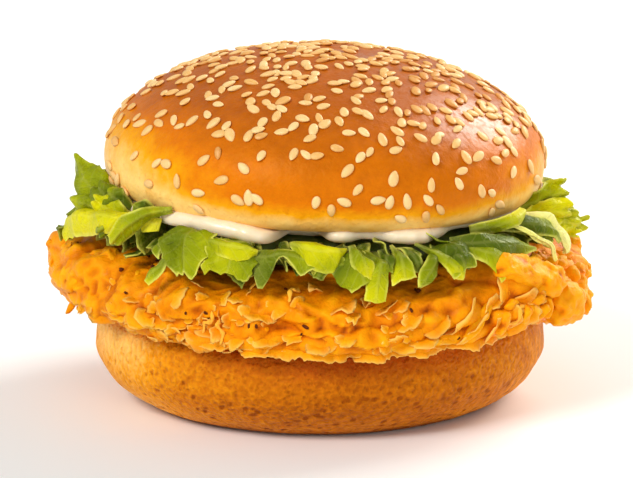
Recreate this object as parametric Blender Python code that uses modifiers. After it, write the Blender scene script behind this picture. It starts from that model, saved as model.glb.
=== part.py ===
"""Chicken burger: heel bun, breaded chicken fillet, shredded lettuce, mayonnaise and crown bun.

Metres, +Z up. The origin is the centre of the heel's flat base, on the table. +X is to the
right of someone who faces the burger's front, and +Y points away from them.
"""

import math

import bmesh
import bpy
from mathutils import Vector, noise

# Driving dimensions
GAP = 0.0003  # clearance between two layers that rest on each other

HEEL_RADIUS = 0.0512  # the widest, above the table by HEEL_BELLY
HEEL_FOOT_RADIUS = 0.0385  # flat base
HEEL_CUT_RADIUS = 0.0490  # the sliced face
HEEL_BELLY = 0.0114
HEEL_HEIGHT = 0.0205
HEEL_BULGE = 1.27  # how full the side is below the belly: the lower, the fuller

PATTY_HALF_LENGTH = 0.0606
PATTY_HALF_DEPTH = 0.0545
PATTY_THICKNESS = 0.0172
PATTY_CRAG = 0.0020  # depth of the coarse lumps in the crust
PATTY_LUMP = 0.0130  # distance from one lump to the next
PATTY_WALL = 0.36  # how blunt the fillet's edge is: the lower, the blunter
PATTY_SCALLOP = 0.0012  # depth of the edge's uneven scallops
# Where the fillet's edge stands out or in: angle and half width in degrees, metres outward
PATTY_BULGES = (
    (178.0, 24.0, 0.0016),
    (355.0, 20.0, 0.0018),
    (211.0, 22.0, -0.0020),
    (328.0, 14.0, -0.0016),
    (282.0, 24.0, 0.0012),
    (68.0, 30.0, -0.0016),
)
# Where its edge lifts off the heel or hangs lower: angle and half width in degrees, metres up
PATTY_SAGS = (
    (180.0, 40.0, 0.0020),
    (354.0, 38.0, -0.0042),
    (276.0, 60.0, -0.0014),
)

LETTUCE_CORE_RADIUS = 0.0455
LETTUCE_HEIGHT = 0.0061
LETTUCE_SHEET = 0.0013  # thickness of a frill's outer edge
LETTUCE_CLEAR = 0.0008  # from a frill down to the fillet
# Shreds that hang over the fillet: angle and half width in degrees, drop in metres
HANGING_SHREDS = (
    (212.0, 10.0, 0.0016),
    (236.0, 15.0, 0.0038),
    (258.0, 12.0, 0.0024),
    (282.0, 8.0, 0.0052),
    (296.0, 9.0, 0.0030),
    (313.0, 8.0, 0.0028),
    (28.0, 12.0, 0.0022),
    (62.0, 14.0, 0.0034),
    (94.0, 10.0, 0.0026),
    (121.0, 13.0, 0.0036),
    (150.0, 10.0, 0.0020),
)

MAYO_RADIUS = 0.0440
MAYO_HEIGHT = 0.0022
# Where the mayonnaise oozes out: angle and half width in degrees, metres outward
MAYO_LOBES = (
    (236.0, 30.0, 0.0034),
    (290.0, 24.0, 0.0022),
    (338.0, 16.0, 0.0022),
    (200.0, 16.0, 0.0026),
    (96.0, 34.0, 0.0020),
)

CROWN_RADIUS = 0.0500  # the widest, above the cut face by CROWN_RIM
CROWN_CUT_RADIUS = 0.0445
CROWN_RIM = 0.0080
CROWN_DOME = 0.0240  # from the widest to the top
CROWN_BULGE = 0.86  # how full the underside of the rim is: the lower, the fuller
CROWN_WAVE = 0.0012  # height of the baked dough's slow waves
CROWN_WAVE_LENGTH = 0.035
CROWN_LEAN_DEG = 1.7  # the crown and the mayonnaise sit lower at +X
CROWN_SHIFT = 0.0008  # and a little off the centre, to +X

# Levels worked out from them
PATTY_BOTTOM = HEEL_HEIGHT + GAP
PATTY_TOP = PATTY_BOTTOM + PATTY_THICKNESS
LETTUCE_BOTTOM = PATTY_TOP + GAP
LETTUCE_TOP = LETTUCE_BOTTOM + LETTUCE_HEIGHT
MAYO_BOTTOM = LETTUCE_TOP + GAP
CROWN_BOTTOM = MAYO_BOTTOM + MAYO_HEIGHT + GAP
LEAN = math.radians(CROWN_LEAN_DEG)


def clear_scene():
    for obj in list(bpy.data.objects):
        bpy.data.objects.remove(obj, do_unlink=True)


def make_material(name, colour, roughness):
    material = bpy.data.materials.new(name)
    material.use_nodes = True
    shader = material.node_tree.nodes["Principled BSDF"]
    shader.inputs["Base Color"].default_value = (*colour, 1.0)
    shader.inputs["Roughness"].default_value = roughness
    shader.inputs["Metallic"].default_value = 0.0
    return material


def add_piece(name, mesh, material, collection):
    mesh.name = name
    mesh.materials.clear()
    mesh.materials.append(material)
    mesh.shade_smooth()
    obj = bpy.data.objects.new(name, mesh)
    collection.objects.link(obj)
    return obj


def around(angle, centre_deg, half_width_deg):
    """A smooth bump over the angle, 1 at the centre and 0 from half_width_deg away."""
    away = math.degrees(angle) - centre_deg
    away = abs((away + 180.0) % 360.0 - 180.0) / half_width_deg
    return 0.5 + 0.5 * math.cos(math.pi * away) if away < 1.0 else 0.0


def bumps(angle, table):
    """The sum of a table's bumps at this angle. Each is a centre, a half width and a height."""
    return sum(height * around(angle, centre, half_width) for centre, half_width, height in table)


def ellipse_radius(angle, half_x, half_y):
    return half_x * half_y / math.hypot(half_y * math.cos(angle), half_x * math.sin(angle))


def arc_points(start, end, bulge, steps):
    """Quarter superellipse from start to end in the (radius, height) plane, without its start.

    It leaves start along the radius and reaches end along the height.
    """
    points = []
    for i in range(1, steps + 1):
        t = math.radians(90.0) * i / steps
        along_radius = math.sin(t) ** bulge
        along_height = 1.0 - math.cos(t) ** bulge
        points.append(
            (
                start[0] + (end[0] - start[0]) * along_radius,
                start[1] + (end[1] - start[1]) * along_height,
            )
        )
    return points


def turned_mesh(profile, steps):
    """The mesh that the profile, given from the top down its outer side, makes about Z."""
    outline = bpy.data.meshes.new("profile")
    outline.from_pydata(
        [(radius, 0.0, height) for radius, height in profile],
        [(i, i + 1) for i in range(len(profile) - 1)],
        [],
    )
    guide = bpy.data.objects.new("profile", outline)
    bpy.context.scene.collection.objects.link(guide)
    screw = guide.modifiers.new("turn", "SCREW")
    screw.steps = screw.render_steps = steps
    screw.use_merge_vertices = True
    screw.merge_threshold = 0.00002
    graph = bpy.context.evaluated_depsgraph_get()
    mesh = bpy.data.meshes.new_from_object(guide.evaluated_get(graph))
    bpy.data.objects.remove(guide, do_unlink=True)
    bpy.data.meshes.remove(outline)
    return mesh


def make_uneven(mesh, amount, period, seed, keep_below):
    """Moves the surface in and out in slow waves, as baked dough is, but not the flat below keep_below."""
    offset = Vector((seed, seed * 0.7, seed * 0.3))
    for vertex in mesh.vertices:
        if vertex.co.z <= keep_below:
            continue
        wave = noise.noise(vertex.co / period + offset)
        away = Vector((vertex.co.x, vertex.co.y, 0.0))
        vertex.co += away * (amount * wave / CROWN_RADIUS)
    mesh.update()


def heel_mesh():
    side = [(HEEL_FOOT_RADIUS, 0.0)]
    side += arc_points(side[0], (HEEL_RADIUS, HEEL_BELLY), HEEL_BULGE, 7)
    upper = arc_points((HEEL_CUT_RADIUS, HEEL_HEIGHT), (HEEL_RADIUS, HEEL_BELLY), 1.0, 4)
    upper.reverse()
    side += upper[1:] + [(HEEL_CUT_RADIUS, HEEL_HEIGHT)]
    profile = [(0.0, 0.0)] + side + [(0.0, HEEL_HEIGHT)]
    profile.reverse()
    mesh = turned_mesh(profile, 48)
    for vertex in mesh.vertices:
        # The belly is a little fuller on one side than on the other
        if 0.0002 < vertex.co.z < HEEL_HEIGHT - 0.0002:
            angle = math.atan2(vertex.co.y, vertex.co.x)
            vertex.co.xy *= 1.0 + 0.006 * math.sin(2.0 * angle + 0.6)
    return mesh


def crown_mesh():
    """Cut face at z = 0, so that the crown can lean about the middle of that face."""
    equator = (CROWN_RADIUS, CROWN_RIM)
    rim = arc_points((CROWN_CUT_RADIUS, 0.0), equator, CROWN_BULGE, 5)
    dome = arc_points((0.0, CROWN_RIM + CROWN_DOME), equator, 1.0, 11)
    dome.reverse()
    top = [(0.0, CROWN_RIM + CROWN_DOME)]
    profile = [(0.0, 0.0), (CROWN_CUT_RADIUS, 0.0)] + rim + dome[1:] + top
    profile.reverse()
    mesh = turned_mesh(profile, 52)
    make_uneven(mesh, CROWN_WAVE, CROWN_WAVE_LENGTH, 3.1, 0.0004)
    return mesh


def patty_outline(angle):
    """Radius of the fillet's edge: an oval with a blunt tail, a knob and uneven scallops."""
    radius = ellipse_radius(angle, PATTY_HALF_LENGTH, PATTY_HALF_DEPTH)
    radius += bumps(angle, PATTY_BULGES)
    scallop = noise.noise(Vector((math.cos(angle), math.sin(angle), 0.4)) * 4.2)
    return radius + PATTY_SCALLOP * scallop


def patty_point(angle, rise):
    """A point of the fillet's surface before the crust's lumps. rise is -1 under it, 1 on top."""
    edge = patty_outline(angle)
    half = PATTY_THICKNESS / 2.0
    quarter = rise * math.pi / 2.0
    level = math.copysign(abs(math.sin(quarter)) ** 0.55, rise) * half
    radius = edge * max(math.cos(quarter), 0.0) ** PATTY_WALL
    outer = max(0.0, radius / edge) ** 7
    # The tail lifts off the heel, and the knob at the other end hangs lower
    level += outer * bumps(angle, PATTY_SAGS)
    middle = PATTY_BOTTOM + half
    return Vector((radius * math.cos(angle), radius * math.sin(angle), middle + level))


def patty_lump(point):
    """How far the crust stands out here, from -1 to 1: rounded lumps with creases between them."""
    lumps = 1.0 - 2.0 * abs(noise.noise(point / PATTY_LUMP + Vector((2.0, 7.0, 1.0))))
    slow = noise.noise(point / (2.2 * PATTY_LUMP) + Vector((5.0, 1.0, 2.0)))
    return 1.1 * (lumps - 0.6) + 0.6 * slow


def patty_mesh():
    """A sphere whose points go to the fillet's surface and then in or out with the crust."""
    shape = bmesh.new()
    bmesh.ops.create_uvsphere(shape, u_segments=80, v_segments=20, radius=1.0)
    middle = Vector((0.0, 0.0, PATTY_BOTTOM + PATTY_THICKNESS / 2.0))
    for vertex in shape.verts:
        flat = math.hypot(vertex.co.x, vertex.co.y)
        rise = math.atan2(vertex.co.z, flat) / (math.pi / 2.0)
        angle = math.atan2(vertex.co.y, vertex.co.x) if flat > 1e-6 else 0.0
        point = patty_point(angle, rise)
        outward = Vector((point.x, point.y, 3.0 * (point.z - middle.z))).normalized()
        point += outward * (PATTY_CRAG * patty_lump(point))
        if math.hypot(point.x, point.y) < HEEL_RADIUS + 0.0012:
            point.z = max(point.z, PATTY_BOTTOM)
        point.z = min(point.z, PATTY_TOP)
        vertex.co = point
    mesh = bpy.data.meshes.new("patty")
    shape.to_mesh(mesh)
    shape.free()
    return mesh


def patty_shoulder(angle, radius):
    """Height of the fillet's top at this radius, or None past its edge, lumps included."""
    edge = patty_outline(angle) + PATTY_CRAG
    share = radius / edge
    if share >= 1.0:
        return None
    rise = math.acos(share ** (1.0 / PATTY_WALL)) / (math.pi / 2.0)
    return min(PATTY_TOP, patty_point(angle, rise).z + PATTY_CRAG)


def ringed_mesh(name, sections):
    """Closed loft through sections set round Z. Each runs from the axis below to the axis above."""
    rings = len(sections[0]) - 2
    count = len(sections)
    points = [sections[0][0]]
    for section in sections:
        points += section[1:-1]
    points.append(sections[0][-1])
    last = len(points) - 1
    faces = []
    for i in range(count):
        here = 1 + i * rings
        there = 1 + (i + 1) % count * rings
        faces.append((0, there, here))
        faces.append((last, here + rings - 1, there + rings - 1))
        for j in range(rings - 1):
            faces.append((here + j, there + j, there + j + 1, here + j + 1))
    mesh = bpy.data.meshes.new(name)
    mesh.from_pydata(points, [], faces)
    mesh.validate()
    return mesh


def frill_wave(angle, turn):
    """From -1 to 1: the ruffle of a torn leaf edge, as tight folds of uneven width."""
    folds = math.sin(15.0 * angle + 2.2 * math.sin(3.0 * angle + turn) + turn)
    small = math.sin(27.0 * angle + 1.7 * math.sin(5.0 * angle - turn))
    return 0.72 * folds + 0.28 * small


def lower_frill(angle):
    """Underside of the lower tier, from the core out to the tips that hang over the fillet."""
    wave = frill_wave(angle, 0.4)
    ends = around(angle, 181.0, 30.0) + around(angle, 3.0, 26.0)
    drop = 0.0010 - 0.0016 * wave + bumps(angle, HANGING_SHREDS)
    reach = max(0.0548 + 0.0034 * ends, patty_outline(angle) + PATTY_CRAG * 0.6)
    reach = min(reach, 0.0592) + 0.0009 * wave
    points = []
    for share in (0.34, 0.66, 0.88, 1.0):
        radius = LETTUCE_CORE_RADIUS + (reach - LETTUCE_CORE_RADIUS) * share
        level = LETTUCE_BOTTOM + 0.0004 - drop * share**3
        shoulder = patty_shoulder(angle, radius)
        if shoulder is not None:
            level = max(level, shoulder + LETTUCE_CLEAR)
        points.append((radius, level))
    return points


def upper_frill(angle, start, core_top):
    """Underside of the upper tier: it stands out, and at both ends up beside the crown."""
    wave = frill_wave(angle, 2.6)
    left = around(angle, 181.0, 24.0)
    right = around(angle, 3.0, 20.0)
    reach = 0.0536 + 0.0014 * wave + 0.0034 * left + 0.0044 * right
    lift = 0.0008 + 0.0020 * wave + 0.0092 * left + 0.0046 * right
    points = []
    for share in (0.45, 0.76, 1.0):
        radius = start[0] + (reach - start[0]) * share
        rise = (core_top - LETTUCE_SHEET - start[1]) * share + lift * share**3
        points.append((radius, start[1] + max(0.0003, rise)))
    return points


def lettuce_sections(count):
    """Two ruffled tiers round a core that runs through the burger."""
    sections = []
    for i in range(count):
        angle = 2.0 * math.pi * i / count
        core_top = LETTUCE_TOP - math.tan(LEAN) * LETTUCE_CORE_RADIUS * math.cos(angle)
        lower = lower_frill(angle)
        notch = (0.0470, lower[0][1] + LETTUCE_SHEET + 0.0006)
        upper = upper_frill(angle, notch, core_top)
        section = [(0.0, LETTUCE_BOTTOM), (LETTUCE_CORE_RADIUS, LETTUCE_BOTTOM)]
        section += lower
        section += [(r - 0.0004, z + LETTUCE_SHEET) for r, z in reversed(lower[1:])]
        section.append(notch)
        section += upper
        section += [(r - 0.0010, z + LETTUCE_SHEET) for r, z in reversed(upper[1:])]
        section += [(LETTUCE_CORE_RADIUS, core_top), (0.0, LETTUCE_TOP)]
        sections.append(
            [Vector((r * math.cos(angle), r * math.sin(angle), z)) for r, z in section]
        )
    return sections


def mayo_sections(count):
    """A pressed layer with a rounded edge that oozes out in lobes. Its underside is at z = 0."""
    sections = []
    for i in range(count):
        angle = 2.0 * math.pi * i / count
        edge = MAYO_RADIUS + bumps(angle, MAYO_LOBES)
        edge += 0.0012 * math.sin(5.0 * angle + 0.8) * math.sin(2.0 * angle + 0.3)
        half = MAYO_HEIGHT / 2.0
        section = [(0.0, 0.0), (edge - 0.0016, 0.0)]
        section += [(edge - 0.0004, 0.45 * half), (edge, half), (edge - 0.0004, 1.55 * half)]
        section += [(edge - 0.0016, MAYO_HEIGHT), (0.0, MAYO_HEIGHT)]
        sections.append(
            [Vector((r * math.cos(angle), r * math.sin(angle), z)) for r, z in section]
        )
    return sections


def build():
    clear_scene()
    burger = bpy.data.collections.new("chicken_burger")
    bpy.context.scene.collection.children.link(burger)

    bread_dark = make_material("heel_crust", (0.62, 0.28, 0.06), 0.60)
    bread_glossy = make_material("crown_crust", (0.66, 0.24, 0.04), 0.32)
    crust = make_material("fried_crust", (0.80, 0.36, 0.04), 0.48)
    leaf = make_material("lettuce_leaf", (0.26, 0.48, 0.04), 0.40)
    cream = make_material("mayonnaise_cream", (0.90, 0.86, 0.76), 0.22)

    add_piece("heel_bun", heel_mesh(), bread_dark, burger)
    add_piece("chicken_fillet", patty_mesh(), crust, burger)
    lettuce = ringed_mesh("lettuce", lettuce_sections(100))
    add_piece("shredded_lettuce", lettuce, leaf, burger)

    # The mayonnaise and the crown lean together about the middle of the lettuce's top
    lean = bpy.data.objects.new("lean", None)
    lean.location = (CROWN_SHIFT, 0.0, LETTUCE_TOP)
    lean.rotation_euler = (0.0, LEAN, 0.0)
    burger.objects.link(lean)
    mayo = add_piece("mayonnaise", ringed_mesh("mayo", mayo_sections(64)), cream, burger)
    mayo.parent = lean
    mayo.location = (0.0, 0.0, MAYO_BOTTOM - LETTUCE_TOP)
    crown = add_piece("crown_bun", crown_mesh(), bread_glossy, burger)
    crown.parent = lean
    crown.location = (0.0, 0.0, CROWN_BOTTOM - LETTUCE_TOP)


build()
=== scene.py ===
import math

import bpy
import numpy as np
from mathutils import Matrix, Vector, noise


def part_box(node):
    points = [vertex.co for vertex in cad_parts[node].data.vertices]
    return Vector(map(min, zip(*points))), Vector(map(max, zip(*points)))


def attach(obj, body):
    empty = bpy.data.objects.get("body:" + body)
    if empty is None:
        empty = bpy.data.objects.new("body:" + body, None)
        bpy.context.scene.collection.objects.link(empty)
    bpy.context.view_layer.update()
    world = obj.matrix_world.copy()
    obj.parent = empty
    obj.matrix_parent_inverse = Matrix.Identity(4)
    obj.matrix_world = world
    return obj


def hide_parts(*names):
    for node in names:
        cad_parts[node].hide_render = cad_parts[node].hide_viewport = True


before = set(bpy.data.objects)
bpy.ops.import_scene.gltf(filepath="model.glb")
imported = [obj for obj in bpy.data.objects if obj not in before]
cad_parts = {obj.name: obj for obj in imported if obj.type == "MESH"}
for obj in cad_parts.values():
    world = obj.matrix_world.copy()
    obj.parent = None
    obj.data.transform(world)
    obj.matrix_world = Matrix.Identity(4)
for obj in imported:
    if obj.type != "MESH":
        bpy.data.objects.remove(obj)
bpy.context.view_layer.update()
mm = 0.001


def hashOf(cell, seed):
    value = cell[..., 0] * 73856093 ^ cell[..., 1] * 19349663 ^ cell[..., 2] * 83492791
    value = (value ^ seed * 40503) & 0xFFFFFFFF
    value = (value ^ value >> 15) * 0x2C1B3C6D & 0xFFFFFFFF
    value = (value ^ value >> 12) * 0x297A2D39 & 0xFFFFFFFF
    return value ^ value >> 15


def wavy(points, period, seed=0):
    # gradient noise from about -1 to 1, with bumps a period apart
    spot = np.asarray(points, float) / period + seed * 7.31
    base = np.floor(spot).astype(np.int64)
    local = spot - base
    fade = local**3 * (local * (local * 6 - 15) + 10)
    total = np.zeros(spot.shape[:-1])
    for corner in np.ndindex(2, 2, 2):
        code = hashOf(base + np.array(corner), seed)
        weight = np.ones_like(total)
        lean = np.zeros_like(total)
        for axis in range(3):
            slope = (code >> 10 * axis & 1023) / 511.5 - 1
            lean += slope * (local[..., axis] - corner[axis])
            weight *= fade[..., axis] if corner[axis] else 1 - fade[..., axis]
        total += lean * weight
    return total * 1.5


def wavy3(points, period, seed=0):
    return np.stack([wavy(points, period, seed + k) for k in (0, 11, 23)], axis=-1)


def smoothStep(low, high, value):
    t = np.clip((value - low) / (high - low), 0, 1)
    return t * t * (3 - 2 * t)


def around(angle, centreDeg, halfWidthDeg):
    # a smooth bump over the angle, 1 at the centre
    away = np.abs((np.degrees(angle) - centreDeg + 180) % 360 - 180) / halfWidthDeg
    return np.where(away < 1, 0.5 + 0.5 * np.cos(np.pi * np.minimum(away, 1)), 0.0)


def unit(vectors):
    return vectors / np.maximum(np.linalg.norm(vectors, axis=-1, keepdims=True), 1e-12)


def gridNormals(points):
    # rows run bottom to top and columns round the axis
    roundWay = np.roll(points, -1, axis=1) - np.roll(points, 1, axis=1)
    upWay = np.gradient(points, axis=0)
    return unit(np.cross(roundWay, upWay))


def blurred(grid, passes):
    for _ in range(passes):
        grid = (np.roll(grid, 1, 1) + 2 * grid + np.roll(grid, -1, 1)) / 4
        padded = np.concatenate([grid[:1], grid, grid[-1:]])
        grid = (padded[:-2] + 2 * padded[1:-1] + padded[2:]) / 4
    return grid


def addPiece(name, points, faces, material, paints=None, smooth=True):
    mesh = bpy.data.meshes.new(name)
    mesh.from_pydata(points.tolist(), [], faces)
    for key, values in (paints or {}).items():
        layer = mesh.attributes.new(key, "FLOAT", "POINT")
        layer.data.foreach_set("value", np.asarray(values, np.float32))
    mesh.validate()
    if smooth:
        mesh.shade_smooth()
    mesh.materials.append(material)
    piece = bpy.data.objects.new(name, mesh)
    bpy.context.scene.collection.objects.link(piece)
    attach(piece, "root")
    low, high = (1000 * points.min(0)).round(1), (1000 * points.max(0)).round(1)
    print(f"{name}: {sum(len(f) - 2 for f in faces)} triangles, {low} to {high} mm")
    return piece


def ringFaces(rows, columns):
    # rows of points round an axis, with one more point at each end
    here = np.arange(rows - 1)[:, None] * columns + np.arange(columns)[None, :]
    there = np.arange(rows - 1)[:, None] * columns + (np.arange(columns) + 1)[None, :] % columns
    quads = np.stack([here, there, there + columns, here + columns], -1).reshape(-1, 4)
    first = np.arange(columns)
    after = (first + 1) % columns
    low, high = rows * columns, rows * columns + 1
    top = (rows - 1) * columns
    fans = [(low, int(b), int(a)) for a, b in zip(first, after)]
    fans += [(high, int(top + a), int(top + b)) for a, b in zip(first, after)]
    return quads.tolist() + fans


def closedRing(grid, paints):
    # the points and paints of a ring mesh, with both ends closed at a middle point
    points = np.concatenate([grid.reshape(-1, 3), [grid[0].mean(0), grid[-1].mean(0)]])
    layers = {}
    for key, values in paints.items():
        ends = [values[0].mean(), values[-1].mean()]
        layers[key] = np.concatenate([values.reshape(-1), ends])
    return points, ringFaces(*grid.shape[:2]), layers


def settle(points, node):
    # moves the points so that the middle of their box is the middle of the node's box
    low, high = (np.array(corner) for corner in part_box(node))
    flat = points.reshape(-1, 3)
    return points + ((low + high) - (flat.min(0) + flat.max(0))) / 2


def turnedAbout(points, degrees):
    # leans points about the Y axis
    turn = math.radians(degrees)
    x = points[..., 0] * math.cos(turn) + points[..., 2] * math.sin(turn)
    z = points[..., 2] * math.cos(turn) - points[..., 0] * math.sin(turn)
    return np.stack([x, points[..., 1], z], -1)


def scattered(shape, faces, places, axes, sizes, own):
    # copies one small shape to every place; axes holds each copy's three directions
    count = len(places)
    spread = np.einsum("vk,nkc->nvc", shape, axes * sizes[:, :, None]) + places[:, None, :]
    points = spread.reshape(-1, 3)
    step = len(shape)
    allFaces = [tuple(i + n * step for i in f) for n in range(count) for f in faces]
    paints = {key: np.repeat(values, step) for key, values in own.items()}
    return points, allFaces, paints


def joined(parts):
    points, faces, paints = [], [], {}
    start = 0
    for somePoints, someFaces, somePaints in parts:
        points.append(somePoints)
        faces += [tuple(i + start for i in f) for f in someFaces]
        start += len(somePoints)
        for key, values in somePaints.items():
            paints.setdefault(key, []).append(values)
    return np.concatenate(points), faces, {k: np.concatenate(v) for k, v in paints.items()}


class Wire:
    # a shader value that can stand in sums: 1 - mask * 0.5 adds its Math nodes
    def __init__(self, graph, socket):
        self.graph = graph
        self.socket = socket

    def __add__(self, other):
        return self.graph.maths("ADD", self, other)

    def __sub__(self, other):
        return self.graph.maths("SUBTRACT", self, other)

    def __rsub__(self, other):
        return self.graph.maths("SUBTRACT", other, self)

    def __mul__(self, other):
        return self.graph.maths("MULTIPLY", self, other)

    def __pow__(self, other):
        return self.graph.maths("POWER", self, other)

    __radd__ = __add__
    __rmul__ = __mul__


class Graph:
    def __init__(self, name):
        self.material = bpy.data.materials.new(name)
        self.material.use_nodes = True
        self.tree = self.material.node_tree
        self.tree.nodes.clear()

    def add(self, kind, settings=None, values=None, out=0):
        node = self.tree.nodes.new(kind)
        for key, value in (settings or {}).items():
            if key == "stops":
                self.setStops(node.color_ramp.elements, value)
            else:
                setattr(node, key, value)
        for key, value in (values or {}).items():
            if isinstance(value, Wire):
                self.tree.links.new(value.socket, node.inputs[key])
            else:
                node.inputs[key].default_value = value
        return Wire(self, node.outputs[out]) if node.outputs else None

    def setStops(self, elements, stops):
        while len(elements) > 1:
            elements.remove(elements[-1])
        elements[0].position = stops[0][0]
        elements[0].color = (*stops[0][1], 1)
        for place, colour in stops[1:]:
            elements.new(place).color = (*colour, 1)

    def maths(self, operation, first, second):
        settings = {"operation": operation}
        return self.add("ShaderNodeMath", settings, {0: first, 1: second})

    def limit(self, value, low=0.0, high=1.0):
        settings = {"operation": "MINIMUM"}
        capped = self.add("ShaderNodeMath", settings, {0: value, 1: high})
        return self.maths("MAXIMUM", capped, low)

    def paint(self, key):
        return self.add("ShaderNodeAttribute", {"attribute_name": key}, out=2)

    def place(self):
        return self.add("ShaderNodeTexCoord", out=3)

    def speckle(self, perMetre, detail=3.0, rough=0.55, twist=0.0):
        values = {"Vector": self.place(), "Scale": perMetre, "Detail": detail}
        values.update({"Roughness": rough, "Distortion": twist})
        return self.add("ShaderNodeTexNoise", None, values)

    def cells(self, perMetre, feature="F1"):
        values = {"Vector": self.place(), "Scale": perMetre}
        return self.add("ShaderNodeTexVoronoi", {"feature": feature}, values)

    def between(self, value, low, high):
        values = {0: value, 1: low, 2: high}
        settings = {"interpolation_type": "SMOOTHSTEP"}
        return self.add("ShaderNodeMapRange", settings, values)

    def ramp(self, value, stops):
        return self.add("ShaderNodeValToRGB", {"stops": stops}, {0: value})

    def blend(self, share, first, second, mode="MIX"):
        settings = {"data_type": "RGBA", "blend_type": mode}
        return self.add("ShaderNodeMix", settings, {0: share, 6: first, 7: second}, out=2)

    def bump(self, height, distance, strength=1.0, before=None):
        values = {"Height": height, "Distance": distance, "Strength": strength}
        if before is not None:
            values["Normal"] = before
        return self.add("ShaderNodeBump", None, values)

    def finish(self, values):
        surface = self.add("ShaderNodeBsdfPrincipled", None, values)
        self.add("ShaderNodeOutputMaterial", None, {"Surface": surface})
        return self.material


def opaque(colour):
    return (*colour, 1.0)


# the crown bun and its glazed crust
crown = {
    "radius": 50.0 * mm,
    "cutRadius": 44.5 * mm,
    "rim": 8.0 * mm,
    "dome": 24.0 * mm,
    "leanDeg": 1.7,
    "roundness": 0.86,
    "columns": 300,
    "rows": 124,
    "swell": 0.010,
    "pale": (0.99, 0.63, 0.18),
    "gold": (0.86, 0.360, 0.003),
    "amber": (0.67, 0.168, 0.001),
    "brown": (0.42, 0.094, 0.001),
}


def crownSurface(angle, rise):
    # rise is -1 at the cut edge, 0 at the widest and 1 at the top
    up = np.clip(rise, 0, 1) * np.pi / 2
    down = np.clip(-rise, 0, 1) * np.pi / 2
    power = crown["roundness"]
    rimOut = np.cos(down) ** power
    rimUp = 1 - np.sin(down) ** power
    overhang = crown["radius"] - crown["cutRadius"]
    radius = np.where(rise >= 0, crown["radius"] * np.cos(up), crown["cutRadius"] + overhang * rimOut)
    height = np.where(rise >= 0, crown["rim"] + crown["dome"] * np.sin(up), crown["rim"] * rimUp)
    points = np.stack([radius * np.cos(angle), radius * np.sin(angle), height], -1)
    swell = 1 + crown["swell"] * wavy(points, 32 * mm, 3) * smoothStep(-1.0, -0.6, rise)
    points[..., :2] *= swell[..., None]
    dent = wavy(points, 13 * mm, 8) * 0.22 * mm + wavy(points, 5 * mm, 9) * 0.06 * mm
    dent = dent + wavy(points, 2.7 * mm, 10) * 0.04 * mm
    points[..., 2] += dent * smoothStep(-0.9, 0.2, rise)
    return points


def crownMaterial():
    g = Graph("crownCrust")
    baked = g.paint("baked")
    blotch = g.speckle(42, 4.0, 0.6, 0.4)
    fine = g.speckle(420, 4.0, 0.6)
    mottle = g.speckle(150, 4.0, 0.65, 0.3)
    # the bake paint also carries painted light: it is lower, so paler, on the left side
    tone = baked + (blotch - 0.5) * 0.36 + (mottle - 0.5) * 0.34 + (fine - 0.5) * 0.28
    stops = [(0.0, crown["pale"]), (0.30, crown["gold"]), (0.62, crown["amber"]), (1.0, crown["brown"])]
    colour = g.ramp(g.limit(tone), stops)
    freckle = g.between(g.speckle(900, 2.0, 0.5), 0.62, 0.74)
    colour = g.blend(freckle * 0.22, colour, opaque(crown["brown"]), "MIX")
    skin = g.speckle(260, 5.0, 0.62, 0.3)
    pebbles = g.speckle(620, 3.0, 0.55)
    normal = g.bump(skin, 0.00045, 0.6)
    normal = g.bump(pebbles, 0.00040, 0.7, normal)
    sheen = g.between(g.speckle(520, 3.0, 0.6, 0.4), 0.36, 0.60) * 0.75 + 0.25
    rough = g.speckle(120, 3.0, 0.6) * 0.16 + 0.34
    return g.finish(
        {
            "Base Color": colour,
            "Roughness": rough,
            "Normal": normal,
            "Specular IOR Level": 0.20,
            "Specular Tint": (1.0, 0.60, 0.18, 1.0),
            "Coat Weight": g.limit(g.paint("glaze") * (g.speckle(70, 3.0) * 0.8 + 0.6) * sheen),
            "Coat Roughness": 0.29,
            "Coat Tint": (1.0, 0.97, 0.86, 1.0),
            "Subsurface Weight": 0.05,
            "Subsurface Radius": (1.0, 0.30, 0.05),
            "Subsurface Scale": 0.0015,
        }
    )


def crownBakeAndShading(points, rise, angle):
    # how brown the crust is, from 0 at the pale rim to 1; the left side is paler, partly lighter baking and
    # partly painted light from the left, and the lower right is paler too
    baked = 0.05 + 0.70 * smoothStep(-0.52, 0.08, rise)
    baked += 0.12 * wavy(points, 26 * mm, 5) + 0.07 * wavy(points, 9 * mm, 6)
    baked += 0.29 * smoothStep(0.06, 0.46, rise)
    baked -= around(angle, 194, 72) * 0.78 * smoothStep(0.62, -0.05, rise)
    baked -= around(angle, 344, 46) * 0.30 * smoothStep(0.55, -0.2, rise)
    return np.clip(baked, 0, 1)


def makeCrown():
    angle = np.linspace(0, 2 * np.pi, crown["columns"], endpoint=False)
    outer = np.sin(np.linspace(-np.pi / 2, np.pi / 2, crown["rows"])) * 0.35
    outer = outer + np.linspace(-1, 1, crown["rows"]) * 0.65
    outer[-1] = 0.998
    angles, rises = np.meshgrid(angle, outer)
    grid = crownSurface(angles, rises)
    inner = [grid[0] * np.array([share, share, 1.0]) for share in (0.1, 0.5, 0.8, 0.95)]
    baked = crownBakeAndShading(grid, rises, angles)
    grid = np.concatenate([np.array(inner), grid])
    glaze = smoothStep(0.06, 0.46, rises) * (0.16 + 0.84 * around(angles, 330, 74))
    bare = np.zeros((4, crown["columns"]))
    paints = {"baked": np.concatenate([bare, baked]), "glaze": np.concatenate([bare, glaze])}
    grid = turnedAbout(grid, crown["leanDeg"])
    seated = settle(grid, "crown_bun")
    points, faces, paints = closedRing(seated, paints)
    piece = addPiece("crownBun", points, faces, crownMaterial(), paints)
    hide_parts("crown_bun")
    return (seated - grid)[0, 0]


# sesame seeds on the crown
seed = {
    "count": 620,
    "tries": 16000,
    "apart": 2.15 * mm,
    "length": 3.4 * mm,
    "width": 2.05 * mm,
    "thick": 1.0 * mm,
    "ivory": (0.88, 0.60, 0.26),
    "tan": (0.78, 0.44, 0.13),
    "toastAndShade": (0.62, 0.26, 0.05),
}


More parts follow.
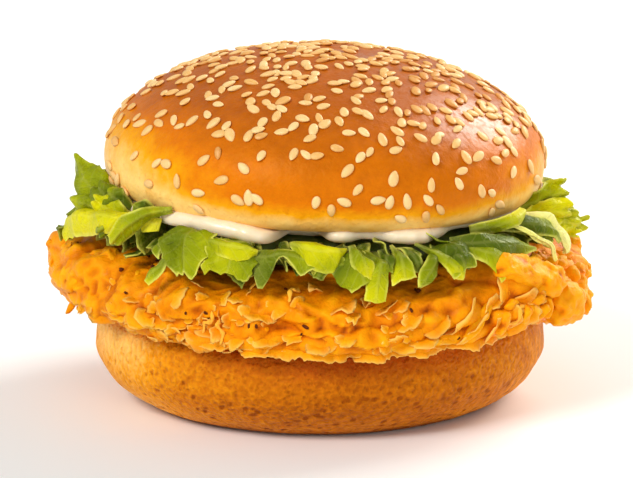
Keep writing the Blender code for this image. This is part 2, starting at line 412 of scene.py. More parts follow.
def seedShape():
    # a flat teardrop, 1 long, 1 wide and 1 thick, with its point at +X
    rings, around_ = 9, 10
    along = (1 - np.cos(np.linspace(0, np.pi, rings + 2)[1:-1])) / 2
    width = np.sqrt(along) * (1 - along) ** 0.66
    width = width / width.max() / 2
    thick = along**0.5 * (1 - along) ** 0.6
    turn = np.linspace(0, 2 * np.pi, around_, endpoint=False)
    grid = np.zeros((rings, around_, 3))
    grid[..., 0] = (along - 0.5)[:, None]
    grid[..., 1] = width[:, None] * np.cos(turn)
    side = np.sign(np.sin(turn)) * np.abs(np.sin(turn)) ** 0.8
    grid[..., 2] = thick[:, None] * side
    ends = np.array([[-0.5, 0, 0], [0.5, 0, 0]])
    return np.concatenate([grid.reshape(-1, 3), ends]), ringFaces(rings, around_)


def seedMaterial():
    g = Graph("sesameHull")
    tone = g.paint("tone") + (g.speckle(900, 2.0) - 0.5) * 0.35
    stops = [(0.0, seed["ivory"]), (0.62, seed["tan"]), (1.0, seed["toastAndShade"])]
    colour = g.ramp(g.limit(tone), stops)
    normal = g.bump(g.speckle(1600, 2.0), 0.00012, 0.5)
    return g.finish(
        {
            "Base Color": colour,
            "Roughness": g.speckle(700, 2.0) * 0.2 + 0.34,
            "Normal": normal,
            "Specular IOR Level": 0.42,
            "Subsurface Weight": 0.15,
            "Subsurface Radius": (1.0, 0.7, 0.4),
            "Subsurface Scale": 0.0008,
        }
    )


def seedSpots(rng):
    # crowded towards the top, looser to the rim, in clusters, and none under the rim
    angles = rng.uniform(0, 2 * np.pi, seed["tries"])
    rises = rng.uniform(-0.45, 0.985, seed["tries"])
    spots = crownSurface(angles, rises)
    area = np.cos(np.clip(rises, 0, 1) * np.pi / 2) + 0.03
    crowd = smoothStep(0.0, 0.66, rises)
    loose = 0.06 + 0.12 * smoothStep(-0.3, 0.2, rises)
    crowd = crowd + 0.5 * around(angles, 326, 46) * smoothStep(0.22, 0.5, rises)
    wanted = area * (loose + 0.82 * crowd + (0.2 + 0.3 * crowd) * wavy(spots, 11 * mm, 31))
    wanted = wanted * (1 - 0.62 * around(angles, 205, 62) * smoothStep(0.62, 0.36, rises))
    near = seed["apart"] * rng.uniform(0.72, 1.7 - 0.80 * np.minimum(crowd, 1))
    kept = []
    for k in np.flatnonzero(rng.uniform(size=seed["tries"]) < wanted):
        if not kept or np.linalg.norm(spots[kept] - spots[k], axis=1).min() > near[k]:
            kept.append(k)
        if len(kept) == seed["count"]:
            break
    print(f"{len(kept)} seeds placed")
    return angles[kept], rises[kept]


def makeSeeds(shift):
    rng = np.random.default_rng(41)
    angles, rises = seedSpots(rng)
    spots = crownSurface(angles, rises)
    roundWay = unit(crownSurface(angles + 0.01, rises) - spots)
    upWay = unit(crownSurface(angles, rises + 0.01) - spots)
    out = unit(np.cross(roundWay, upWay))
    turn = rng.uniform(0, 2 * np.pi, len(spots))[:, None]
    long_ = roundWay * np.cos(turn) + upWay * np.sin(turn)
    long_ = unit(long_ + out * rng.uniform(-0.16, 0.16, len(spots))[:, None])
    wide = unit(np.cross(out, long_))
    axes = np.stack([long_, wide, np.cross(long_, wide)], 1)
    size = rng.uniform(0.84, 1.12, (len(spots), 1))
    sizes = size * np.array([[seed["length"], seed["width"], seed["thick"]]])
    sizes[:, 1] *= rng.uniform(0.86, 1.08, len(spots))
    spots = spots + out * seed["thick"] * rng.uniform(0.12, 0.36, (len(spots), 1))
    tone = rng.normal(0.30, 0.23, len(spots)) + 0.10 * rises
    # seeds at the upper right are painted darker: painted shade against the crust's sheen there
    tone = tone + 0.42 * around(angles, 326, 58) * smoothStep(0.22, 0.55, rises)
    shape, faces = seedShape()
    points, faces, paints = scattered(shape, faces, spots, axes, sizes, {"tone": np.clip(tone, 0, 0.9)})
    # each seed is painted darker towards its base: painted contact shade where it meets the crust
    foot = np.tile(smoothStep(0.16, -0.30, shape[:, 2]), len(spots))
    paints["tone"] = paints["tone"] + 0.55 * foot
    points = turnedAbout(points, crown["leanDeg"]) + shift
    addPiece("sesameSeeds", points, faces, seedMaterial(), paints)


# the heel bun
heel = {
    "radius": 51.2 * mm,
    "footRadius": 38.5 * mm,
    "cutRadius": 49.0 * mm,
    "belly": 11.4 * mm,
    "height": 20.5 * mm,
    "bulge": 1.27,
    "columns": 380,
    "sideRows": 90,
    "pale": (0.99, 0.55, 0.12),
    "gold": (0.84, 0.315, 0.005),
    "amber": (0.56, 0.155, 0.002),
    "brown": (0.30, 0.062, 0.001),
    "shaded": (0.40, 0.060, 0.004),
}


def heelSide():
    # the side's radius and height from the foot up to the cut edge, evenly spaced
    t = np.linspace(0, np.pi / 2, 200)
    reach = heel["radius"] - heel["footRadius"]
    radius = heel["footRadius"] + reach * np.sin(t) ** heel["bulge"]
    height = heel["belly"] * (1 - np.cos(t) ** heel["bulge"])
    back = heel["radius"] - heel["cutRadius"]
    radius = np.concatenate([radius, heel["cutRadius"] + back * np.cos(t[1:])])
    height = np.concatenate([height, heel["belly"] + (heel["height"] - heel["belly"]) * np.sin(t[1:])])
    length = np.concatenate([[0], np.cumsum(np.hypot(np.diff(radius), np.diff(height)))])
    even = np.linspace(0, length[-1], heel["sideRows"])
    return np.interp(even, length, radius), np.interp(even, length, height)


def heelMaterial():
    g = Graph("heelCrust")
    baked = g.paint("baked")
    blotch = g.speckle(60, 4.0, 0.6, 0.5)
    swell = g.speckle(800, 1.0, 0.5, 0.2)
    dimple = g.between(g.cells(920), 0.02, g.speckle(350, 2.0) * 0.9)
    peel = swell * 0.8 + dimple * 0.22
    # painted light and shade on the peel: raised bumps lighter, dimples darker, and the streak paint lighter on
    # the wrinkles' ridges; the pits are painted darker as painted shade
    tone = baked + (blotch - 0.5) * 0.30 - (swell - 0.5) * 0.55 + (1 - dimple) * 0.07
    tone = tone + g.paint("pit") * 0.80 + g.paint("streak") * 0.25
    stops = [(0.0, heel["pale"]), (0.36, heel["gold"]), (0.70, heel["amber"]), (1.0, heel["brown"])]
    colour = g.ramp(g.limit(tone), stops)
    # the fillet's painted shadow darkens the heel's top at the front towards the shaded colour
    colour = g.blend(g.paint("under") * 0.62, colour, opaque(heel["shaded"]))
    grain = g.speckle(1500, 2.0, 0.5)
    normal = g.bump(peel, 0.0010, 0.9)
    normal = g.bump(grain, 0.0001, 0.4, normal)
    return g.finish(
        {
            "Base Color": colour,
            "Roughness": g.speckle(150, 3.0) * 0.2 + 0.46,
            "Normal": normal,
            "Specular IOR Level": 0.18,
            "Specular Tint": (1.0, 0.62, 0.22, 1.0),
            "Subsurface Weight": 0.06,
            "Subsurface Radius": (1.0, 0.30, 0.05),
            "Subsurface Scale": 0.0015,
        }
    )


def heelPits(points):
    # small dimples that gas left in the crust, denser low on the side
    cell = 2.3 * mm
    base = np.floor(points / cell).astype(np.int64)
    nearest = np.full(points.shape[:-1], 9.0)
    size = np.zeros(points.shape[:-1])
    for offset in np.ndindex(3, 3, 3):
        there = base + np.array(offset) - 1
        code = hashOf(there, 77)
        middle = np.stack([(code >> 10 * k & 1023) / 1023 for k in range(3)], -1)
        gap = np.linalg.norm(points / cell - (there + middle), axis=-1)
        own = (hashOf(there, 78) & 1023) / 1023
        closer = gap < nearest
        nearest = np.where(closer, gap, nearest)
        size = np.where(closer, own, size)
    deep = smoothStep(0.32, 0.10, nearest) * smoothStep(0.15, 0.7, size)
    return deep


def makeHeel():
    radius, height = heelSide()
    angle = np.linspace(0, 2 * np.pi, heel["columns"], endpoint=False)
    angles = np.broadcast_to(angle, (len(radius), len(angle)))
    grid = np.stack(
        [radius[:, None] * np.cos(angles), radius[:, None] * np.sin(angles), height[:, None] + 0 * angles],
        -1,
    )
    share = height[:, None] / heel["height"]
    free = smoothStep(0.0, 0.06, share) * smoothStep(1.0, 0.94, share)
    grid[..., :2] *= (1 + 0.006 * free * np.sin(2 * angles + 0.6))[..., None]
    out = gridNormals(grid)
    pits = heelPits(grid) * smoothStep(0.95, 0.30, share) * free
    stretch = np.stack([grid[..., 0], grid[..., 1], grid[..., 2] * 0.25], -1)
    streak = wavy(stretch, 2.0 * mm, 51) * np.maximum(around(angles, 338, 42), 0.08)
    wrinkle = streak * 0.16 * mm
    relief = wavy(grid, 9 * mm, 50) * 0.25 * mm + wavy(grid, 3 * mm, 52) * 0.06 * mm + wrinkle
    grid = grid + out * ((relief - pits * 0.28 * mm) * free)[..., None]
    # how brown the crust is, with painted light and shade: paler on the left, partly painted light from the left;
    # darker at the front, painted shade; darker in a band under the fillet, painted shadow; a little paler at the
    # right, paler low on the side and darker at the very bottom edge
    baked = 0.67 - 0.13 * smoothStep(0.08, 0.95, share) + 0.12 * wavy(grid, 20 * mm, 53)
    baked = baked - around(angles, 196, 62) * (0.22 + 0.34 * smoothStep(0.35, 0.9, share))
    baked = baked - 0.10 * around(angles, 350, 34) + 0.17 * around(angles, 272, 62)
    baked = baked + 0.20 * smoothStep(0.72, 0.95, share) * around(angles, 280, 70)
    baked = baked + 0.28 * smoothStep(0.10, 0.01, share)
    baked = baked + 0.04 * smoothStep(0.3, 0.6, share) - 0.14 * smoothStep(0.40, 0.14, share)
    # where the fillet's painted shadow falls along the heel's top edge at the front
    under = smoothStep(0.60, 0.97, share + 0.05 * wavy(grid, 12 * mm, 54)) * around(angles, 282, 84)
    foot = [grid[0] * np.array([s, s, 1.0]) for s in (0.2, 0.6, 0.9)]
    cut = [grid[-1] * np.array([s, s, 1.0]) for s in (0.985, 0.9, 0.5, 0.2)]
    whole = np.concatenate([foot, grid, cut])
    edge = np.full((3, len(angle)), 0.9)
    crumb = np.full((4, len(angle)), 0.0)
    paints = {
        "baked": np.concatenate([edge, baked, crumb]),
        "pit": np.concatenate([edge * 0, pits, crumb]),
        "streak": np.concatenate([edge * 0, -streak * free, crumb]),
        "under": np.concatenate([edge * 0, under, crumb]),
    }
    points, faces, paints = closedRing(settle(whole, "heel_bun"), paints)
    piece = addPiece("heelBun", points, faces, heelMaterial(), paints)
    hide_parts("heel_bun")


# the breaded chicken fillet
fillet = {
    "halfLength": 60.6 * mm,
    "halfDepth": 54.5 * mm,
    "thick": 17.2 * mm,
    "crag": 2.0 * mm,
    "lump": 13.0 * mm,
    "wall": 0.36,
    "columns": 700,
    "rows": 136,
    "pale": (0.99, 0.62, 0.08),
    "lip": (0.99, 0.62, 0.14),
    "yellow": (0.95, 0.42, 0.004),
    "orange": (0.84, 0.26, 0.001),
    "rust": (0.54, 0.115, 0.001),
    "dark": (0.26, 0.044, 0.001),
}


def filletOutline(angle):
    longWay, deepWay = fillet["halfLength"], fillet["halfDepth"]
    radius = longWay * deepWay / np.hypot(deepWay * np.cos(angle), longWay * np.sin(angle))
    radius = radius + 1.2 * mm * around(angle, 178, 24) + 0.4 * mm * around(angle, 355, 20)
    radius = radius - 2.0 * mm * around(angle, 211, 22) - 1.6 * mm * around(angle, 328, 14)
    radius = radius + 1.2 * mm * around(angle, 282, 24) - 1.6 * mm * around(angle, 68, 30)
    scallop = [noise.noise(Vector((math.cos(a), math.sin(a), 0.4)) * 4.2) for a in angle.flat]
    return radius + 1.2 * mm * np.array(scallop).reshape(angle.shape)


def filletPoint(angle, edge, rise):
    half = fillet["thick"] / 2
    quarter = rise * np.pi / 2
    level = np.sign(rise) * np.abs(np.sin(quarter)) ** 0.55 * half
    radius = edge * np.maximum(np.cos(quarter), 0) ** fillet["wall"]
    outer = (radius / edge) ** 7
    radius = radius - 4.2 * mm * smoothStep(-0.1, 0.8, rise) * around(angle, 358, 40)
    radius = radius - 2.6 * mm * smoothStep(0.1, 0.9, rise) * around(angle, 186, 30)
    level = level + outer * 2.0 * mm * around(angle, 180, 40)
    level = level - outer * 1.6 * mm * around(angle, 196, 22) * smoothStep(0.1, -0.4, rise)
    level = level - outer * 5.2 * mm * around(angle, 352, 38)
    level = level - outer * 2.4 * mm * around(angle, 272, 70)
    middle = heel["height"] + 0.3 * mm + half
    return np.stack([radius * np.cos(angle), radius * np.sin(angle), middle + level], -1)


def filletLumps(points):
    # the coarse lumps of the solid underneath
    values = []
    for p in points.reshape(-1, 3):
        spot = Vector(p)
        near = noise.noise(spot / fillet["lump"] + Vector((2.0, 7.0, 1.0)))
        slow = noise.noise(spot / (2.2 * fillet["lump"]) + Vector((5.0, 1.0, 2.0)))
        values.append(1.1 * (1 - 2 * abs(near) - 0.6) + 0.6 * slow)
    return np.array(values).reshape(points.shape[:-1])


def evenRises():
    # rises from -1 to 1 that are evenly spaced along the side, with few on the flats
    q = np.linspace(-1, 1, 4001)
    rise = np.sign(q) * np.abs(q) ** 1.8
    edge = np.full(rise.shape, (fillet["halfLength"] + fillet["halfDepth"]) / 2)
    line = filletPoint(np.full(rise.shape, np.pi / 2), edge, rise)
    radius = np.hypot(line[:, 0], line[:, 1])
    gap = np.hypot(np.diff(radius), np.diff(line[:, 2]))
    gap = gap * np.where(radius[1:] < 40 * mm, 0.06, 1.0)
    length = np.concatenate([[0], np.cumsum(gap)])
    even = np.linspace(0, length[-1], fillet["rows"] + 2)[1:-1]
    return np.interp(even, length, rise)


# big soft lumps of batter: angle in degrees, height, radius and swell in mm
batterLumps = [
    (338, 26.0, 6.5, 1.0),
    (332, 29.4, 3.0, -2.4),
    (353, 33.0, 4.0, 0.8),
    (353, 22.5, 4.5, 1.6),
    (4, 28.0, 4.5, 1.2),
    (322, 29.0, 5.0, 1.2),
    (318, 36.5, 5.5, 1.2),
    (304, 27.0, 5.5, 1.1),
    (276, 31.0, 6.0, 0.9),
    (252, 27.5, 6.5, 1.2),
    (236, 31.5, 7.0, 1.1),
    (222, 29.0, 7.5, 1.2),
    (205, 34.0, 8.0, 1.5),
    (192, 37.0, 5.0, 0.8),
    (180, 31.0, 6.0, 1.0),
    (12, 30.0, 6.0, 1.2),
    (30, 34.0, 6.0, 1.3),
    (55, 28.0, 7.0, 1.4),
    (80, 33.0, 6.0, 1.3),
    (104, 28.0, 6.5, 1.5),
    (130, 33.0, 7.0, 1.4),
    (156, 28.0, 6.0, 1.3),
]


# folds of batter, each from one spot to another: two angles and heights, radius and swell in mm
batterFolds = [
    (308, 39.0, 331, 31.0, 4.2, 2.6),
    (284, 25.5, 306, 30.0, 2.6, 1.5),
    (290, 22.5, 312, 25.0, 2.2, 1.4),
    (298, 31.0, 314, 33.5, 2.4, 1.1),
    (260, 24.5, 282, 25.5, 2.5, 1.3),
    (312, 26.5, 327, 28.5, 2.8, 1.6),
    (240, 24.5, 256, 22.5, 2.5, 1.3),
    (218, 28.0, 232, 25.0, 2.8, 1.2),
    (192, 29.0, 208, 26.0, 3.0, 1.2),
    (180, 36.5, 194, 37.5, 3.0, 1.0),
    (258, 32.0, 268, 29.0, 2.2, 0.9),
    (22, 26.0, 44, 28.0, 2.8, 1.3),
    (60, 32.0, 82, 29.0, 2.8, 1.4),
    (92, 25.0, 112, 26.5, 2.6, 1.3),
    (118, 31.5, 142, 33.0, 3.0, 1.3),
    (146, 26.0, 166, 27.5, 2.8, 1.4),
]


def foldSwell(points, angle, radius):
    swell = np.zeros(angle.shape)
    for first, firstHeight, last, lastHeight, size, high in batterFolds:
        middle = math.radians((first + last) / 2)
        turn = (angle - middle + np.pi) % (2 * np.pi) - np.pi
        half = math.radians(last - first) / 2
        share = np.clip((turn + half) / (2 * half), 0, 1)
        nearTurn = (share * 2 - 1) * half
        nearHeight = (firstHeight + (lastHeight - firstHeight) * share) * mm
        gap = np.hypot((turn - nearTurn) * radius, points[..., 2] - nearHeight) / (size * mm)
        swell = np.maximum(swell, high * mm * np.clip(1 - gap**2, 0, 1) ** 0.6)
    return swell


def lumpSwell(points):
    angle = np.arctan2(points[..., 1], points[..., 0])
    radius = np.hypot(points[..., 0], points[..., 1])
    swell = foldSwell(points + 0.9 * mm * wavy3(points, 5 * mm, 95), angle, radius)
    for degrees, height, size, high in batterLumps:
        turn = (angle - math.radians(degrees) + np.pi) % (2 * np.pi) - np.pi
        gap = np.hypot(turn * radius, (points[..., 2] - height * mm) * 1.15) / (size * mm)
        swell = swell + high * mm * np.clip(1 - gap**2, 0, 1) ** 0.95
    return swell


def crustRelief(points):
    # soft batter folds all over, and stepped ledges low on the side
    bent = points + 1.8 * mm * wavy3(points, 8 * mm, 60)
    folds = 1 - 2 * np.abs(wavy(bent, 9 * mm, 63))
    relief = 0.70 * mm * (folds - 0.5) + 0.35 * mm * wavy(bent, 5 * mm, 64)
    small = 1 - 2 * np.abs(wavy(bent, 3.4 * mm, 65))
    rough = smoothStep(-0.3, 0.4, wavy(points, 16 * mm, 66))
    relief = relief + (0.18 + 0.42 * rough) * mm * (small - 0.4)
    low = smoothStep(34 * mm, 26 * mm, points[..., 2])
    step = (points[..., 2] + 2.4 * mm * wavy(points, 13 * mm, 67)) / (3.6 * mm)
    step = step + 0.35 * wavy(points, 4 * mm, 68)
    saw = step - np.floor(step)
    ledge = (1 - saw) * smoothStep(0.0, 0.12, saw)
    there = smoothStep(-0.25, 0.2, wavy(points, 18 * mm, 69))
    relief = relief + 1.15 * mm * (ledge - 0.4) * low * there
    grit = smoothStep(-0.5, 0.5, wavy(points, 11 * mm, 92))
    relief = relief + (0.10 + 0.30 * grit) * mm * wavy(bent, 2.2 * mm, 90)
    turn = np.arctan2(points[..., 1], points[..., 0])
    ends = 0.45 * around(turn, 190, 36) + around(turn, 352, 28)
    knobs = 0.4 * np.abs(wavy(points, 3.1 * mm, 93)) + 0.7 * wavy(points, 1.9 * mm, 94)
    relief = relief + 0.55 * mm * ends * (knobs - 0.2)
    relief = relief + 0.09 * mm * wavy(points, 1.2 * mm, 91)
    return relief + lumpSwell(points) - 0.45 * mm, ledge * low * there


def filletMaterial():
    g = Graph("friedCrust")
    high = g.paint("high")
    lip = g.paint("lip")
    hollow = g.paint("hollow")
    blotch = g.speckle(62, 3.0, 0.6, 0.8)
    fine = g.speckle(600, 4.0, 0.6)
    patch = g.speckle(230, 3.0, 0.55, 0.6)
    # raised relief is painted lighter as painted highlight, mixed with each piece's own random tone, and hollows
    # are painted darker as painted shade
    tone = 0.40 + high * 0.34 - hollow * 0.44 + (blotch - 0.5) * 0.36 + (patch - 0.5) * 0.40
    tone = tone + (fine - 0.5) * 0.20
    stops = [
        (0.0, fillet["dark"]),
        (0.16, fillet["rust"]),
        (0.42, fillet["orange"]),
        (0.74, fillet["yellow"]),
        (1.0, fillet["pale"]),
    ]
    colour = g.ramp(g.limit(tone), stops)
    colour = g.blend(g.limit(lip * 0.85), colour, opaque(fillet["lip"]))
    grain = g.speckle(1300, 4.0, 0.65)
    crumbly = g.speckle(380, 5.0, 0.62, 0.8)
    normal = g.bump(crumbly, 0.0009, 0.55)
    normal = g.bump(grain, 0.0003, 0.4, normal)
    return g.finish(
        {
            "Base Color": colour,
            "Roughness": g.speckle(200, 3.0) * 0.35 + 0.26,
            "Normal": normal,
            "Specular IOR Level": 0.18,
            "Specular Tint": (1.0, 0.66, 0.20, 1.0),
            "Coat Weight": g.between(g.speckle(110, 3.0), 0.45, 0.75) * 0.08,
            "Coat Roughness": 0.16,
            "Subsurface Weight": 0.06,
            "Subsurface Radius": (1.0, 0.30, 0.05),
            "Subsurface Scale": 0.0015,
        }
    )


def makeFillet(material):
    rises = evenRises()
    angle = np.linspace(0, 2 * np.pi, fillet["columns"], endpoint=False)
    edge = filletOutline(angle)
    angles, rise = np.meshgrid(angle, rises)
    grid = filletPoint(angles, edge[None, :], rise)
    middle = heel["height"] + 0.3 * mm + fillet["thick"] / 2
    out = unit(grid * [1, 1, 3] - np.array([0, 0, 3 * middle]))
    grid = grid + out * (fillet["crag"] * filletLumps(grid))[..., None]
    radius = np.hypot(grid[..., 0], grid[..., 1])
    low, high = heel["height"] + 0.3 * mm, heel["height"] + 0.3 * mm + fillet["thick"]
    free = smoothStep(41 * mm, 49 * mm, radius)
    out = gridNormals(blurred3(grid, 3))
    relief, ledge = crustRelief(grid)
    grid = grid + out * (relief * free)[..., None]
    radius = np.hypot(grid[..., 0], grid[..., 1])
    resting = radius < heel["cutRadius"] + 1.0 * mm
    grid[..., 2] = np.where(resting, np.maximum(grid[..., 2], low), grid[..., 2])
    grid[..., 2] = np.minimum(grid[..., 2], high + 1.5 * mm * free)
    # painted light from the relief: hollows darker as painted shade, raised parts lighter as painted highlight,
    # with the left end lighter and less shaded
    soft = blurred(relief, 16)
    hollow = np.clip((soft - relief) / (0.8 * mm), 0, 1) * (1 - 0.6 * around(angles, 188, 44))
    raisedHighlight = np.clip((relief - soft) / (0.8 * mm) + 0.30 * around(angles, 194, 46), 0, 1)
    paints = {"high": raisedHighlight, "lip": smoothStep(0.82, 0.95, ledge) * 0.6 * free, "hollow": hollow}
    points, faces, layers = closedRing(grid, paints)
    piece = addPiece("chickenFillet", points, faces, material, layers)
    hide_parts("chicken_fillet")
    return Skin(grid)


def blurred3(grid, passes):
    return np.stack([blurred(grid[..., k], passes) for k in range(3)], -1)


class Skin:
    # the fillet's surface, softened, for laying flakes and crumbs on
    def __init__(self, grid):
        self.grid = blurred3(grid, 6)
        self.out = gridNormals(self.grid)
        self.rows, self.columns = grid.shape[:2]
        middle = self.grid[self.rows // 2]
        around_ = np.linalg.norm(np.roll(middle, -1, 0) - middle, axis=1).mean()
        side = self.grid[self.rows // 3 : 2 * self.rows // 3]
        self.columnStep = around_
        self.rowStep = np.linalg.norm(np.diff(side, axis=0), axis=2).mean()
        self.radius = np.hypot(self.grid[..., 0], self.grid[..., 1])
        self.angle = np.arctan2(self.grid[..., 1], self.grid[..., 0])
        self.height = self.grid[..., 2]
        self.side = smoothStep(47 * mm, 54 * mm, self.radius)

    def at(self, row, column):
        # the point and the outward way at any row and column, whole or not
        row = np.clip(row, 0, self.rows - 1.001)
        r, c = np.floor(row).astype(int), np.floor(column).astype(int)
        u, v = (row - r)[..., None], (column - c)[..., None]
        c, d = c % self.columns, (c + 1) % self.columns
        results = []
        for field in (self.grid, self.out):
            lower = field[r, c] * (1 - v) + field[r, d] * v
            upper = field[r + 1, c] * (1 - v) + field[r + 1, d] * v
            results.append(lower * (1 - u) + upper * u)
        return results[0], unit(results[1])

    def spot(self, degrees, height):
        # the row and column nearest to an angle and a height in mm on the side
        column = int(degrees % 360 / 360 * self.columns)
        side = np.flatnonzero(self.radius[:, column] > 46 * mm)
        return side[np.abs(self.height[side, column] - height * mm).argmin()], column

    def pick(self, rng, count, wanted):
        # random rows and columns, where wanted is each grid point's share
        weight = np.clip(wanted, 0, None).reshape(-1)
        picks = rng.choice(weight.size, count, p=weight / weight.sum())
        jitter = rng.uniform(-0.5, 0.5, (2, count))
        return picks // self.columns + jitter[0], picks % self.columns + jitter[1]


# loose flakes, crumbs, strings and pepper on the fillet
crumb = {
    "ledges": 56,
    "petals": 270,
    "nodules": 190,
    "specks": 34,
    "rings": 5,
    "spokes": 22,
}


def flakeSheets(skin, rng, row, column, long_, wide, lean, lipTurn, lift):
    # thin batter flakes lying along the skin, rooted on one side and lifted on the other
    count = len(row)
    rings, spokes = crumb["rings"], crumb["spokes"]
    share = np.linspace(0.12, 1.0, rings)[None, :, None]
    turn = np.linspace(0, 2 * np.pi, spokes, endpoint=False)[None, None, :]
    own = rng.uniform(0, 60, (count, 1, 1))
    rim = np.stack([np.cos(turn) + own, np.sin(turn) + own, own + 0 * turn], -1)
    torn = 1 + 0.26 * wavy(rim, 0.9, 3) + 0.24 * wavy(rim, 0.42, 4) + 0.18 * wavy(rim, 0.2, 6)
    slant = rng.uniform(-0.4, 0.4, (count, 1, 1))
    u = share * torn * np.cos(turn) * long_[:, None, None]
    v = share * torn * np.sin(turn) * wide[:, None, None]
    lean = lean[:, None, None]
    u, v = u + v * slant, v
    u, v = u * np.cos(lean) - v * np.sin(lean), u * np.sin(lean) + v * np.cos(lean)
    base, out = skin.at(row[:, None, None] + v / skin.rowStep, column[:, None, None] + u / skin.columnStep)
    toLip = share * np.cos(turn - lipTurn[:, None, None])
    open_ = smoothStep(-0.35, 1.0, toLip)
    crinkle = wavy(rim + share[..., None] * 0.6, 0.5, 5) * share**2
    height = lift[:, None, None] * (open_ * 1.25 - 0.40 + 0.55 * crinkle * (0.3 + open_))
    height = height - 0.16 * mm * (1 - open_)
    thick = (0.74 - 0.50 * share**2) * mm * (0.45 + 0.5 * np.minimum(lift / (0.9 * mm), 1.4)[:, None, None])
    top = base + out * (height + thick / 2)[..., None]
    under = base + out * (height - thick / 2)[..., None]
    lip = share**5 * (0.25 + 0.75 * open_) + 0 * torn
    grids = np.concatenate([under, top[:, ::-1]], axis=1)
    lips = np.concatenate([lip, lip[:, ::-1]], axis=1)
    tone = rng.uniform(0.0, 0.8, (count, 1, 1))
    middle = (grids[:, [0]].mean(2), grids[:, [-1]].mean(2))
    points = np.concatenate([grids.reshape(count, -1, 3), middle[0], middle[1]], axis=1)
    step = points.shape[1]
    faces = ringFaces(2 * rings, spokes)
    allFaces = [tuple(i + n * step for i in f) for n in range(count) for f in faces]
    flat = lips.reshape(count, -1)
    lipPaint = np.concatenate([flat, np.zeros((count, 2))], axis=1).reshape(-1)
    highPaint = np.repeat(tone.reshape(-1), step)
    paints = {"high": highPaint, "lip": lipPaint, "hollow": np.zeros(count * step)}
    return points.reshape(-1, 3), allFaces, paints


# petals of batter at the front: angle, height, half length and half width in mm, the lean of
# the length and the way the open side faces in degrees, and the lift in mm
frontPetals = [
    (270, 35.6, 3.2, 1.3, 30, 215, 1.3),
    (275.5, 33.0, 2.7, 2.0, 20, 300, 1.4),
    (278.5, 35.8, 2.0, 0.9, 85, 340, 1.2),
    (277.5, 31.2, 1.9, 1.4, 40, 270, 1.1),
    (282.0, 33.2, 2.6, 1.1, 48, 330, 1.3),
    (285.0, 32.2, 2.6, 1.1, 28, 300, 1.2),
    (256.5, 30.4, 2.8, 1.4, -8, 270, 1.1),
    (261.0, 31.6, 2.0, 1.0, 25, 250, 0.9),
    (276.0, 26.4, 2.0, 0.9, 10, 250, 1.3),
    (287.0, 25.4, 2.2, 1.3, 5, 90, 1.0),
    (247.0, 26.6, 2.4, 1.6, 30, 230, 1.2),
    (242.0, 24.4, 2.8, 1.5, -25, 250, 1.2),
    (234.0, 29.8, 2.2, 1.6, -30, 200, 1.0),
    (303.0, 27.6, 4.6, 1.3, 38, 130, 1.6),
    (307.0, 26.2, 4.4, 1.3, 36, 130, 1.6),
    (310.5, 29.6, 3.6, 1.3, 30, 120, 1.5),
    (311.0, 25.2, 2.8, 1.4, 55, 150, 1.5),
    (315.0, 27.0, 2.4, 1.6, 70, 20, 1.5),
    (318.5, 30.2, 2.6, 1.3, 15, 60, 1.4),
    (320.5, 26.6, 2.2, 1.5, 80, 350, 1.4),
    (316.0, 23.8, 2.6, 1.2, -5, 260, 1.3),
    (322.5, 30.0, 1.6, 1.0, 40, 0, 1.2),
    (294.0, 24.6, 3.4, 1.1, 14, 280, 1.2),
    (204.0, 25.0, 2.2, 0.9, 30, 215, 1.4),
    (224.0, 30.8, 2.0, 1.1, 30, 240, 1.0),
    (229.0, 27.6, 2.0, 1.2, -20, 230, 1.1),
    (236.0, 26.0, 2.2, 1.1, 20, 200, 1.2),
    (238.5, 23.4, 2.6, 1.2, -15, 260, 1.3),
    (243.0, 28.6, 1.8, 1.0, 80, 180, 1.2),
    (246.5, 29.4, 1.6, 0.8, 95, 0, 1.3),
    (249.5, 28.6, 2.0, 0.9, 100, 180, 1.3),
    (252.0, 25.2, 2.2, 1.1, 10, 270, 1.2),
    (264.0, 26.0, 2.4, 1.2, 5, 250, 1.1),
    (269.5, 25.0, 2.2, 1.0, -10, 280, 1.2),
    (290.0, 28.8, 3.4, 1.1, 22, 300, 1.1),
    (296.5, 28.0, 3.2, 1.1, 26, 310, 1.2),
]

# thin ragged lips of batter along the lower edge: two angles, and height and reach in mm
batterLips = [
    (212, 238, 26.4, 1.6),
    (234, 256, 23.8, 2.0),
    (251, 279, 22.8, 2.4),
    (272, 300, 22.6, 2.2),
    (295, 319, 23.2, 2.2),
    (20, 48, 23.4, 2.0),
    (44, 76, 23.8, 2.2),
    (72, 104, 22.8, 2.0),
    (99, 131, 23.6, 2.2),
    (128, 160, 23.4, 2.0),
]


